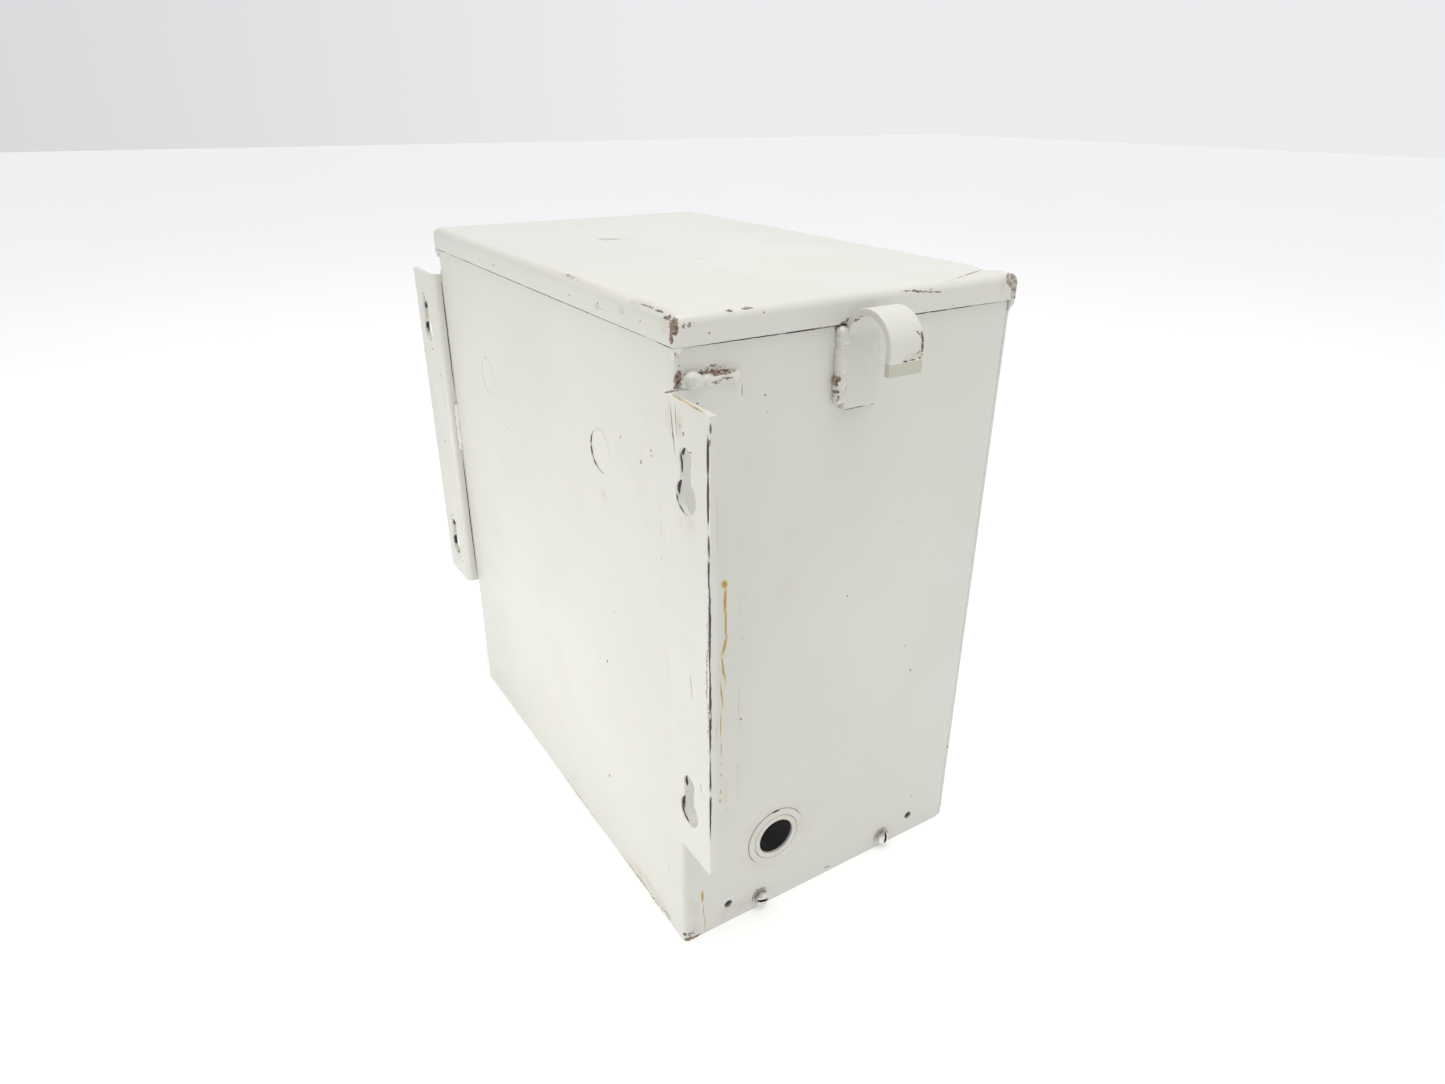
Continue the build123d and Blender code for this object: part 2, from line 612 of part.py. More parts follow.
def neutral_strap():
    """A flat bar across the bridge, on two posts, that carries the neutral lugs."""
    strap = slab(-32, 32, NEUTRAL_FACE, NEUTRAL_FACE + 3, METER_Z - 10, METER_Z + 10)
    strap = fillet(strap.edges().filter_by(Axis.Y), 2.0)
    for x in (-27.5, 27.5):
        strap -= rod("Y", (x, NEUTRAL_FACE, METER_Z), 2.3, 20)
    return strap


def neutral_posts():
    posts = []
    length = BRIDGE_FACE - NEUTRAL_FACE - 3
    middle = (BRIDGE_FACE + NEUTRAL_FACE + 3) / 2
    for x in (-27.5, 27.5):
        post = hexagon("Y", (x, middle, METER_Z), 9.0, length)
        posts.append(post - rod("Y", (x, NEUTRAL_FACE + 3, METER_Z), 2.3, 20))
    return group(posts)


def neutral_strap_screws():
    screw = pan_screw(2.25, 11, 4.2, 2.6)
    return group([Pos(x, NEUTRAL_FACE, METER_Z) * screw for x in (-27.5, 27.5)])


def neutral_lugs():
    lugs = []
    for x in (-NEUTRAL_X, NEUTRAL_X):
        body = slab(-8.5, 8.5, -18, 0, -9, 9)
        body = fillet(body.edges().filter_by(Axis.Z), 2.0)
        body -= rod("Z", (0, -8, 0), 4.6, 20)
        body -= rod("Y", (0, -18, 0), 4.0 + RUNNING, 18)
        lugs.append(Pos(x, NEUTRAL_FACE, METER_Z) * body)
    return group(lugs)


def neutral_set_screws():
    screw = Pos(0, -19.5, 0) * set_screw(4.0, 6.0)
    return group([Pos(x, NEUTRAL_FACE, METER_Z) * screw for x in (-NEUTRAL_X, NEUTRAL_X)])


def ground_lug():
    """A box lug on the bottom plate for the grounding conductor."""
    body = slab(-9, 9, -10, 10, 0, 18)
    body += slab(-9, 9, 10, 26, 0, 3)
    body -= rod("Y", (0, 0, 8), 4.6, 22)
    body -= rod("Z", (0, 0, 18), 4.0 + RUNNING, 16)
    body -= rod("Z", (0, 19, 0), 2.6, 20)
    return Pos(GROUND_X, GROUND_Y, SHEET) * body


def ground_lug_screws():
    """The set screw over the wire, and the screw that holds the lug down."""
    tighten = Rot(-90, 0, 0) * set_screw(4.0, 5.0)
    hold = Rot(-90, 0, 0) * pan_screw(2.5, 2.9, 4.4, 2.6)
    place = Pos(GROUND_X, GROUND_Y, SHEET)
    return group([place * Pos(0, 0, 19.5) * tighten, place * Pos(0, 19, 3) * hold])


# ---- every node, by name --------------------------------------------------------------------
def build():
    shell = walls()
    side_panel = left_side_panel(shell)
    angle = left_mounting_angle()
    hook = left_lifting_hook()
    nodes = {
        "left_side_panel": side_panel,
        "right_side_panel": mirrored(side_panel),
        "back_panel": back_panel(shell),
        "top_cap": top_cap(),
        "cap_corner_welds": cap_corner_welds(),
        "bottom_plate": bottom_plate(),
        "bottom_plate_screws": bottom_plate_screws(),
        "left_knockout_rings": left_knockout_rings(),
        "right_knockout_rings": right_knockout_rings(),
        "back_knockout_discs": back_knockout_discs(),
        "bottom_knockout_rings": bottom_knockout_rings(),
        "left_mounting_angle": angle,
        "right_mounting_angle": mirrored(angle),
        "left_lifting_hook": hook,
        "right_lifting_hook": mirrored(hook),
        "angle_weld_beads": angle_weld_beads(),
        "hook_weld_beads": hook_weld_beads(),
        "front_cover": front_cover(),
        "hasp_bracket": hasp_bracket(),
        "hasp_rivets": hasp_rivets(),
        "hasp_hinge_pin": hasp_hinge_pin(),
        "cover_hasp": cover_hasp(),
        "seal_staple": seal_staple(),
        "socket_bridge": socket_bridge(),
        "line_socket_block": socket_block("line"),
        "load_socket_block": socket_block("load"),
        "jaw_springs": jaw_springs(),
        "lug_set_screws": lug_set_screws(),
        "tang_screws": tang_screws(),
        "block_screws": block_screws(),
        "neutral_strap": neutral_strap(),
        "neutral_posts": neutral_posts(),
        "neutral_strap_screws": neutral_strap_screws(),
        "neutral_lugs": neutral_lugs(),
        "neutral_set_screws": neutral_set_screws(),
        "ground_lug": ground_lug(),
        "ground_lug_screws": ground_lug_screws(),
    }
    for hand, side in (("left", -1), ("right", 1)):
        for row in ("line", "load"):
            nodes[f"{hand}_{row}_jaw"] = jaw(side, row)
            nodes[f"{hand}_{row}_lug"] = lug(side, row)
    return nodes


os.makedirs("parts", exist_ok=True)
for name, shape in build().items():
    export_step(shape, f"parts/{name}.step")
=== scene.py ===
import json
import math
import random

import bmesh
import bpy
from mathutils import Matrix, Vector, noise


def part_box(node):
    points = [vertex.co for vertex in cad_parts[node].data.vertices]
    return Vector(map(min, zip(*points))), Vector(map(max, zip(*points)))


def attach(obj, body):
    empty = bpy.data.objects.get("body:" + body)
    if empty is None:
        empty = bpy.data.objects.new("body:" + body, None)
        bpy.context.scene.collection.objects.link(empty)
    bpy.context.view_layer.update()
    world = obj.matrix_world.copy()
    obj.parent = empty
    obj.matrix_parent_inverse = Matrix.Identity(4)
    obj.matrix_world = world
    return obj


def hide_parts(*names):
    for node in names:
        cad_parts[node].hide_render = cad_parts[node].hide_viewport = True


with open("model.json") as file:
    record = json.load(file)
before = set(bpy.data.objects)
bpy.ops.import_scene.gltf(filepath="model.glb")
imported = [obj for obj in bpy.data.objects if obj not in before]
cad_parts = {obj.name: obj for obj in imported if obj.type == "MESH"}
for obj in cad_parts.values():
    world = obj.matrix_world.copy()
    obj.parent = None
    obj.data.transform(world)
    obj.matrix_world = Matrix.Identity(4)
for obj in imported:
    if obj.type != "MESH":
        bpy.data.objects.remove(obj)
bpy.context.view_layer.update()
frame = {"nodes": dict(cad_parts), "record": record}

# Looks of a worn, painted meter socket enclosure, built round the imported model.
# Metres, in the model's own frame. Marks and welds are placed in millimetres, hence MM.

MM = 0.001

PANEL_LOW, PANEL_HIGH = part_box("left_side_panel")
CAP_LOW, CAP_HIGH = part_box("top_cap")
ANGLE_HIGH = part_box("left_mounting_angle")[1]
HOOK_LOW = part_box("left_lifting_hook")[0]
STRAP_THICK = 3.2  # of the angles and of the hooks' strap
SIDE_X = PANEL_LOW.x / MM  # the left wall's outer face
BACK_Y = PANEL_HIGH.y / MM  # the back's outer face
FRONT_Y = PANEL_LOW.y / MM  # the front edge of the side walls
CAP_X = CAP_LOW.x / MM  # the lip's left, rear and front faces
CAP_BACK = CAP_HIGH.y / MM
CAP_FRONT = CAP_LOW.y / MM
LIP_Z = CAP_LOW.z / MM  # the lip's lower edge
UNDER_LIP = LIP_Z - 0.7
TOP_Z = CAP_HIGH.z / MM
LEG_X = SIDE_X - STRAP_THICK  # outer face of the angle's side leg and hook's strap
LEG_TOP = ANGLE_HIGH.z / MM
WALL_Y = ANGLE_HIGH.y / MM  # rear face of the angles
TIP_X = HOOK_LOW.x / MM  # outer face of the hook's tip


# ---- shader building ------------------------------------------------------------------------
MIX_INPUTS = (0, 6, 7)  # factor and the two colours of an RGBA Mix node
MIX_OUTPUT = 2
EDGE_SAMPLES = 6


class Shader:
    """One material and short ways to add nodes to it."""

    def __init__(self, name):
        self.material = bpy.data.materials.new(name)
        self.material.use_nodes = True
        tree = self.material.node_tree
        self.nodes = tree.nodes
        self.links = tree.links
        self.nodes.clear()
        self.surface = self.nodes.new("ShaderNodeBsdfPrincipled")
        output = self.nodes.new("ShaderNodeOutputMaterial")
        self.links.new(self.surface.outputs[0], output.inputs[0])
        self.place = self.nodes.new("ShaderNodeTexCoord").outputs["Object"]

    def feed(self, socket, value):
        """Links a socket to another, or sets its own value. None leaves it alone."""
        if isinstance(value, bpy.types.NodeSocket):
            self.links.new(value, socket)
        elif value is not None:
            socket.default_value = value

    def set(self, **values):
        """Values or links for the surface's own sockets."""
        for name, value in values.items():
            self.feed(self.surface.inputs[name.replace("_", " ")], value)

    def add(self, kind, *values, **settings):
        """A node, with values or links for its first inputs and settings for itself."""
        made = self.nodes.new("ShaderNode" + kind)
        for key, value in settings.items():
            setattr(made, key, value)
        for socket, value in zip(made.inputs, values):
            self.feed(socket, value)
        return made

    def math(self, operation, *values):
        return self.add("Math", *values, operation=operation).outputs[0]

    def vector(self, operation, *values):
        return self.add("VectorMath", *values, operation=operation).outputs[0]

    def step(self, value, start, end):
        """Smoothly 0 at start and 1 at end."""
        made = self.add("MapRange", value, start, end, interpolation_type="SMOOTHSTEP")
        return made.outputs[0]

    def mix(self, share, under, over):
        """Colour under with that share of colour over on it."""
        made = self.nodes.new("ShaderNodeMix")
        made.data_type = "RGBA"
        for index, value in zip(MIX_INPUTS, (share, under, over)):
            self.feed(made.inputs[index], value)
        return made.outputs[MIX_OUTPUT]

    def noise(self, scale, detail=2.0, place=None):
        """A noise texture's outputs, of which "Fac" runs from 0 to 1."""
        made = self.nodes.new("ShaderNodeTexNoise")
        self.feed(made.inputs["Vector"], place or self.place)
        made.inputs["Scale"].default_value = scale
        made.inputs["Detail"].default_value = detail
        return made.outputs

    def shaken(self, scale, amount):
        """The place, moved about by noise, which makes the edges of marks ragged."""
        shift = self.vector("SUBTRACT", self.noise(scale, 3.0)["Color"], (0.5, 0.5, 0.5))
        shift = self.add("VectorMath", shift, operation="SCALE")
        shift.inputs["Scale"].default_value = amount
        return self.vector("ADD", self.place, shift.outputs[0])

    def nearest(self, place, marks):
        """Distance to the nearest of several ellipsoids, in their own radii."""
        closest = None
        for centre, radii, turn in marks:
            local = self.add("Mapping", place, centre, turn, radii, vector_type="TEXTURE")
            reach = self.add("VectorMath", local.outputs[0], operation="LENGTH").outputs[1]
            closest = reach if closest is None else self.math("MINIMUM", closest, reach)
        return closest

    def edge(self, radius):
        """1 along convex and concave edges, fading to 0 at about that radius."""
        round_normal = self.add("Bevel", radius, samples=EDGE_SAMPLES).outputs[0]
        normal = self.add("NewGeometry").outputs["Normal"]
        along = self.add("VectorMath", round_normal, normal, operation="DOT_PRODUCT").outputs[1]
        return self.step(along, 0.97, 0.82)

    def bump(self, height, distance, normal=None):
        """A normal raised by height, on top of another normal."""
        made = self.add("Bump")
        made.inputs["Distance"].default_value = distance
        self.feed(made.inputs["Height"], height)
        self.feed(made.inputs["Normal"], normal)
        return made.outputs[0]


FLAT = 2.5  # half depth of a mark on a flat face


def spot(x, y, z, across, deep, high, turn=0.0, axis="X"):
    """An ellipsoid mark: centre and half sizes in millimetres, and a turn in degrees about axis."""
    turns = {"X": (turn, 0, 0), "Y": (0, turn, 0), "Z": (0, 0, turn)}[axis]
    centre = tuple(v * MM for v in (x, y, z))
    radii = tuple(v * MM for v in (across, deep, high))
    return centre, radii, tuple(math.radians(v) for v in turns)


def on_side(y, z, wide, high, turn=0.0, x=SIDE_X):
    """A flat mark on a face that looks along X."""
    return spot(x, y, z, FLAT, wide, high, turn, "X")


def on_leg(*mark):
    """A flat mark on the left angle's side leg or the left hook's strap."""
    return on_side(*mark, x=LEG_X)


def on_lip(*mark):
    """A flat mark on the left side of the cap's lip."""
    return on_side(*mark, x=CAP_X)


def on_tip(*mark):
    """A flat mark on the outer face of the left hook's tip."""
    return on_side(*mark, x=TIP_X)


def on_back(x, z, wide, high, turn=0.0, y=BACK_Y):
    """A flat mark on a face that looks along Y."""
    return spot(x, y, z, wide, FLAT, high, turn, "Y")


def on_back_lip(*mark):
    """A flat mark on the rear of the cap's lip."""
    return on_back(*mark, y=CAP_BACK)


def on_wall_leg(*mark):
    """A flat mark on an angle's rear face."""
    return on_back(*mark, y=WALL_Y)


def on_top(x, y, wide, long, turn=0.0):
    """A flat mark on the cap's top."""
    return spot(x, y, TOP_Z, wide, long, FLAT, turn, "Z")


def scatter(seed, count, low, high, sizes):
    """Small marks at seeded random places in a box, in millimetres."""
    draw = random.Random(seed)
    marks = []
    for _ in range(count):
        centre = [draw.uniform(a, b) for a, b in zip(low, high)]
        size = draw.uniform(*sizes)
        marks.append(spot(*centre, size, size * draw.uniform(0.6, 1.8), size * draw.uniform(0.5, 1.4)))
    return marks


# ---- enamel ---------------------------------------------------------------------------------
PAINT_LIGHT = (0.665, 0.661, 0.610, 1)
PAINT_DARK = (0.638, 0.633, 0.580, 1)
RUST_DARK = (0.125, 0.085, 0.072, 1)
RUST_LIGHT = (0.350, 0.250, 0.195, 1)
# near black, for dirty seams and scratches and for lines of painted shade
GRIME_AND_SHADE = (0.036, 0.024, 0.030, 1)
STEEL_DARK = (0.245, 0.205, 0.170, 1)
STEEL_LIGHT = (0.520, 0.470, 0.410, 1)
STAIN = (0.540, 0.480, 0.350, 1)
AMBER = (0.430, 0.270, 0.060, 1)
AMBER_THIN = (0.600, 0.500, 0.260, 1)
OLIVE = (0.500, 0.500, 0.405, 1)
# a dim grey for inside the walls: painted shade for the little light that gets into the box
INSIDE_SHADE_GREY = (0.300, 0.280, 0.320, 1)

PAINT_ROUGHNESS = 0.30  # of the glossiest paint
SMEAR_ROUGHNESS = 0.13  # added where it is smeared
CHIP_ROUGHNESS = 0.45  # added where it is gone
PAINT_DEPTH = 0.14 * MM
SHEET_WAVE = 0.9 * MM
ORANGE_PEEL = 0.03 * MM
DENT_DEPTH = 0.9 * MM


def inside_shade_mask(s):
    """1 within the walls, where the dim inside of the box is painted darker as shade, in place of
    enamel.
    """
    parts = s.add("SeparateXYZ", s.place)
    across = s.step(s.math("ABSOLUTE", parts.outputs["X"]), 154.8 * MM, 154.3 * MM)
    behind = s.step(parts.outputs["Y"], 94.5 * MM, 94.0 * MM)
    before = s.step(parts.outputs["Y"], -95.2 * MM, -94.9 * MM)
    above = s.step(parts.outputs["Z"], 1.0 * MM, 1.4 * MM)
    below = s.step(parts.outputs["Z"], 341.8 * MM, 341.5 * MM)
    depth = s.math("MULTIPLY", behind, before)
    height = s.math("MULTIPLY", above, below)
    return s.math("MULTIPLY", across, s.math("MULTIPLY", depth, height))


def sound_paint(s):
    """The paint's colour, slightly clouded, and painted shade inside the box."""
    tint = s.step(s.noise(7.0, 3.0)["Fac"], 0.35, 0.65)
    colour = s.mix(tint, PAINT_DARK, PAINT_LIGHT)
    blotch = s.step(s.noise(46.0, 4.0)["Fac"], 0.56, 0.80)
    colour = s.mix(s.math("MULTIPLY", blotch, 0.10), colour, STAIN)
    return s.mix(inside_shade_mask(s), colour, INSIDE_SHADE_GREY)


def stained(s, colour, place, stains):
    """Thin brown film in cloudy patches."""
    stain = s.step(s.nearest(place, stains), 1.25, 0.2)
    stain = s.math("MULTIPLY", stain, s.step(s.noise(90.0, 4.0)["Fac"], 0.30, 0.72))
    return s.mix(s.math("MULTIPLY", stain, 0.65), colour, STAIN)


def dripped(s, colour, runs):
    """Amber drips, darkest along the middle."""
    run = s.nearest(s.shaken(180.0, 1.4 * MM), runs)
    drip = s.mix(s.step(run, 0.85, 0.45), AMBER_THIN, AMBER)
    return s.mix(s.step(run, 1.15, 0.8), colour, drip)


def worn_edges(s, speckle, wear):
    """1 where an edge has worn through, and at a few flecks elsewhere."""
    edge = s.edge(1.1 * MM)
    patches = s.noise(34.0, 4.0)["Fac"]
    worn = s.math("ADD", s.math("MULTIPLY", patches, 0.9), s.math("MULTIPLY", speckle, 0.5))
    worn = s.math("ADD", worn, s.math("MULTIPLY", edge, 0.8))
    limit = 1.66 - 0.30 * wear
    worn = s.step(worn, limit, limit + 0.06)
    flecks = s.step(s.noise(170.0, 2.0)["Fac"], 0.785, 0.800)
    return s.math("MAXIMUM", worn, flecks)


def chipped(s, mask, place, speckle, chips):
    """The mask, with ragged chips."""
    reach = s.nearest(place, chips)
    reach = s.math("ADD", reach, s.math("MULTIPLY", s.math("SUBTRACT", speckle, 0.5), 1.3))
    return s.math("MAXIMUM", mask, s.step(reach, 1.0, 0.84))


def gritty(s, mask, place, grit):
    """The mask, with fine specks that thin out from the middle of each area."""
    area = s.step(s.nearest(place, grit), 1.2, 0.1)
    specks = s.math("ADD", s.noise(820.0, 5.0)["Fac"], s.math("MULTIPLY", area, 0.26))
    specks = s.math("MULTIPLY", s.step(specks, 0.68, 0.80), s.step(area, 0.0, 0.1))
    return s.math("MAXIMUM", mask, s.math("MULTIPLY", specks, 0.85))


def scoured(s, colour, mask, bare):
    """Colour and mask, with bare steel on which a little rust is left."""
    show = s.step(s.nearest(s.shaken(160.0, 2 * MM), bare), 1.0, 0.90)
    left = s.step(s.noise(380.0, 2.0)["Fac"], 0.575, 0.61)
    steel = s.mix(s.step(s.noise(520.0, 4.0)["Fac"], 0.4, 0.62), STEEL_DARK, STEEL_LIGHT)
    show = s.math("MULTIPLY", show, s.math("SUBTRACT", 1.0, s.math("MULTIPLY", left, 0.75)))
    colour = s.mix(show, colour, steel)
    return colour, s.math("MAXIMUM", mask, show)


def lined(s, colour, mask, lines):
    """Colour and mask, with dark lines that break off here and there: scratches and dirty seams, and
    painted shade under the lip, along gaps and in keyholes.
    """
    line = s.nearest(s.shaken(300.0, 0.5 * MM), lines)
    gaps = s.step(s.noise(90.0, 3.0)["Fac"], 0.26, 0.46)
    line = s.math("MULTIPLY", s.step(line, 1.05, 0.8), gaps)
    colour = s.mix(line, colour, GRIME_AND_SHADE)
    return colour, s.math("MAXIMUM", mask, s.math("MULTIPLY", line, 0.6))


def paint_relief(s, mask, place, dents):
    """Wavy sheet, orange peel, shallow dents, and the paint's thickness at chips."""
    normal = s.bump(s.noise(11.0, 1.0)["Fac"], SHEET_WAVE)
    normal = s.bump(s.noise(330.0, 2.0)["Fac"], ORANGE_PEEL, normal)
    if dents:
        dent = s.step(s.nearest(place, dents), 0.0, 1.2)
        normal = s.bump(dent, DENT_DEPTH, normal)
    return s.bump(s.math("SUBTRACT", 1.0, mask), PAINT_DEPTH, normal)


def enamel(name, chips=(), grit=(), lines=(), bare=(), stains=(), runs=(), dents=(), wear=0.4,
           olive=None):
    """Enamel with edge wear and placed marks.

    chips are patches with the paint gone, grit is fine rusty specks within an area, lines are
    narrow dark lines: scratches and dirty seams, and painted shade under the lip, along gaps and
    in keyholes. bare is scoured steel, stains are thin brown film, runs are amber drips and dents
    are shallow hollows. wear, from 0 to 1, is how far the edges have worn through. olive gives
    the share of undercoat that shows, at a place.
    """
    s = Shader(name)
    colour = sound_paint(s)
    soft = s.shaken(60.0, 6 * MM)
    ragged = s.shaken(520.0, 1.5 * MM)
    speckle = s.noise(950.0, 3.0)["Fac"]
    if olive is not None:
        colour = s.mix(olive(s, s.shaken(240.0, 0.8 * MM)), colour, OLIVE)
    if stains:
        colour = stained(s, colour, soft, stains)
    if runs:
        colour = dripped(s, colour, runs)

    mask = worn_edges(s, speckle, wear)
    if chips:
        mask = chipped(s, mask, ragged, speckle, chips)
    if grit:
        mask = gritty(s, mask, soft, grit)
    rust = s.mix(s.step(s.noise(700.0, 3.0)["Fac"], 0.38, 0.64), RUST_DARK, RUST_LIGHT)
    colour = s.mix(mask, colour, rust)
    if bare:
        colour, mask = scoured(s, colour, mask, bare)
    if lines:
        colour, mask = lined(s, colour, mask, lines)

    normal = paint_relief(s, mask, soft, dents)
    smears = s.step(s.noise(18.0, 5.0)["Fac"], 0.3, 0.75)
    gloss = s.math("ADD", s.math("MULTIPLY", smears, SMEAR_ROUGHNESS), PAINT_ROUGHNESS)
    roughness = s.math("ADD", gloss, s.math("MULTIPLY", mask, CHIP_ROUGHNESS))
    s.set(Base_Color=colour, Roughness=roughness, Normal=normal)
    return s.material


# ---- bare metals and mouldings --------------------------------------------------------------
# colours of painted shade in hollows and slots, and of a painted highlight along edges
HOLLOW_SHADE = (0.050, 0.042, 0.036, 1)
EDGE_HIGHLIGHT = (0.86, 0.86, 0.85, 1)
GALVANISED_DARK = (0.50, 0.52, 0.53, 1)
GALVANISED_PALE = (0.66, 0.68, 0.69, 1)
GALVANISED_DULL = (0.62, 0.62, 0.60, 1)
PHENOLIC_DARK = (0.016, 0.014, 0.013, 1)
PHENOLIC_PALE = (0.032, 0.027, 0.024, 1)
PHENOLIC_DUST = (0.30, 0.28, 0.25, 1)
PHENOLIC_EDGE = (0.12, 0.11, 0.10, 1)
FINE_GRAIN = 0.02 * MM
CAST_GRAIN = 0.03 * MM


def plated(name, pale, dark, roughness, grain, stain=None, stain_share=0.0, shade_marks=()):
    """Plated or bare metal: fine grain, cloudy roughness, a painted highlight along edges and painted
    shade in hollows.

    grain is how fine the brushing is along each axis, stain_share how much of the stain shows,
    and the last argument lists marks painted dark as shade.
    """
    s = Shader(name)
    cloud = s.step(s.noise(60.0, 4.0)["Fac"], 0.3, 0.7)
    colour = s.mix(cloud, dark, pale)
    if stain:
        spots = s.step(s.noise(210.0, 4.0)["Fac"], 0.60 - 0.12 * stain_share, 0.70)
        colour = s.mix(s.math("MULTIPLY", spots, stain_share), colour, stain)
    # A painted highlight: edges are lightened in the colour.
    shine = s.edge(0.5 * MM)
    colour = s.mix(s.math("MULTIPLY", shine, 0.4), colour, EDGE_HIGHLIGHT)
    # Painted shade: the colour is darkened where ambient occlusion finds hollows.
    hollow = s.add("AmbientOcclusion", samples=EDGE_SAMPLES)
    hollow.inputs["Distance"].default_value = 1.6 * MM
    hollow = s.step(hollow.outputs["AO"], 0.80, 0.35)
    colour = s.mix(s.math("MULTIPLY", hollow, 0.75), colour, HOLLOW_SHADE)
    # Painted shade in the listed marks, such as screw slots.
    if shade_marks:
        slot = s.step(s.nearest(s.shaken(500.0, 0.3 * MM), shade_marks), 1.05, 0.8)
        colour = s.mix(s.math("MULTIPLY", slot, 0.9), colour, HOLLOW_SHADE)
    lines = s.add("Mapping", s.place, (0, 0, 0), (0, 0, 0), grain, vector_type="POINT").outputs[0]
    brushed = s.noise(900.0, 2.0, lines)["Fac"]
    rough = s.math("ADD", s.math("MULTIPLY", s.noise(120.0, 3.0)["Fac"], 0.22), roughness - 0.11)
    rough = s.math("ADD", rough, s.math("MULTIPLY", brushed, 0.06))
    normal = s.bump(brushed, FINE_GRAIN)
    s.set(Base_Color=colour, Roughness=rough, Normal=normal, Metallic=1.0)
    return s.material


def spangled():
    """Galvanised sheet: crystal facets of differing grey."""
    s = Shader("galvanised_steel")
    cells = s.add("TexVoronoi", s.shaken(90.0, 5 * MM))
    cells.inputs["Scale"].default_value = 110.0
    tone = s.add("SeparateColor", cells.outputs["Color"]).outputs[0]
    colour = s.mix(tone, GALVANISED_DARK, GALVANISED_PALE)
    dull = s.step(s.noise(25.0, 4.0)["Fac"], 0.45, 0.75)
    colour = s.mix(s.math("MULTIPLY", dull, 0.5), colour, GALVANISED_DULL)
    rough = s.math("ADD", s.math("MULTIPLY", tone, 0.18), 0.36)
    normal = s.bump(s.noise(500.0, 3.0)["Fac"], CAST_GRAIN)
    s.set(Base_Color=colour, Roughness=rough, Normal=normal, Metallic=0.9)
    return s.material


def moulded():
    """Black phenolic with pale dust and faint flow marks."""
    s = Shader("phenolic")
    flow = s.step(s.noise(70.0, 5.0)["Fac"], 0.35, 0.7)
    colour = s.mix(flow, PHENOLIC_DARK, PHENOLIC_PALE)
    dust = s.step(s.noise(35.0, 5.0)["Fac"], 0.55, 0.8)
    colour = s.mix(s.math("MULTIPLY", dust, 0.25), colour, PHENOLIC_DUST)
    colour = s.mix(s.math("MULTIPLY", s.edge(0.7 * MM), 0.3), colour, PHENOLIC_EDGE)
    rough = s.math("ADD", s.math("MULTIPLY", dust, 0.25), 0.34)
    normal = s.bump(s.noise(700.0, 3.0)["Fac"], CAST_GRAIN)
    s.set(Base_Color=colour, Roughness=rough, Normal=normal)
    return s.material


SCREW_HEAD = 4.0  # how far the side screws' slots stand off the wall
SCREW_Y = 45.5
SCREW_Z = 7.4


def screw_slots():
    """Painted shade in the slots of the side screws. Each slot stands at its own angle."""
    marks = []
    for head_x in (SIDE_X - SCREW_HEAD, -SIDE_X + SCREW_HEAD):
        marks.append(on_side(SCREW_Y, SCREW_Z, 5.0, 1.0, 15, head_x))
        marks.append(on_side(-SCREW_Y, SCREW_Z, 1.0, 5.0, 5, head_x))
    return marks


METALS = {
    "zinc_plate": plated(
        "zinc_plate", (0.88, 0.87, 0.83, 1), (0.58, 0.56, 0.50, 1), roughness=0.30,
        grain=(1, 1, 0.1), stain=(0.30, 0.26, 0.20, 1), stain_share=0.45, shade_marks=screw_slots()),
    "galvanised_steel": spangled(),
    "phenolic": moulded(),
    "tinned_copper": plated(
        "tinned_copper", (0.80, 0.78, 0.74, 1), (0.62, 0.56, 0.48, 1), roughness=0.27,
        grain=(1, 0.1, 1), stain=(0.45, 0.26, 0.14, 1), stain_share=0.2),
    "spring_steel": plated(
        "spring_steel", (0.40, 0.40, 0.42, 1), (0.24, 0.24, 0.27, 1), roughness=0.33,
        grain=(1, 0.1, 1)),
    "lug_aluminium": plated(
        "lug_aluminium", (0.82, 0.83, 0.84, 1), (0.70, 0.71, 0.72, 1), roughness=0.36,
        grain=(1, 1, 0.05)),
    "screw_steel": plated(
        "screw_steel", (0.66, 0.65, 0.61, 1), (0.44, 0.42, 0.38, 1), roughness=0.34,
        grain=(1, 1, 1), stain=(0.26, 0.17, 0.10, 1), stain_share=0.3),
}


def paint(node, material):
    """Gives a CAD node one material in all its slots."""
    mesh = frame["nodes"][node].data
    if not mesh.materials:
        mesh.materials.append(material)
    for index in range(len(mesh.materials)):
        mesh.materials[index] = material


# ---- enamel, part by part -------------------------------------------------------------------
def olive_tip(s, place):
    """1 on the lower end of the hook's tip, which the top coat missed."""
    parts = s.add("SeparateXYZ", place)
    low = s.step(parts.outputs["Z"], 318.4 * MM, 318.0 * MM)
    outer = s.step(s.math("ABSOLUTE", parts.outputs["X"]), 181 * MM, 182 * MM)
    return s.math("MULTIPLY", low, outer)


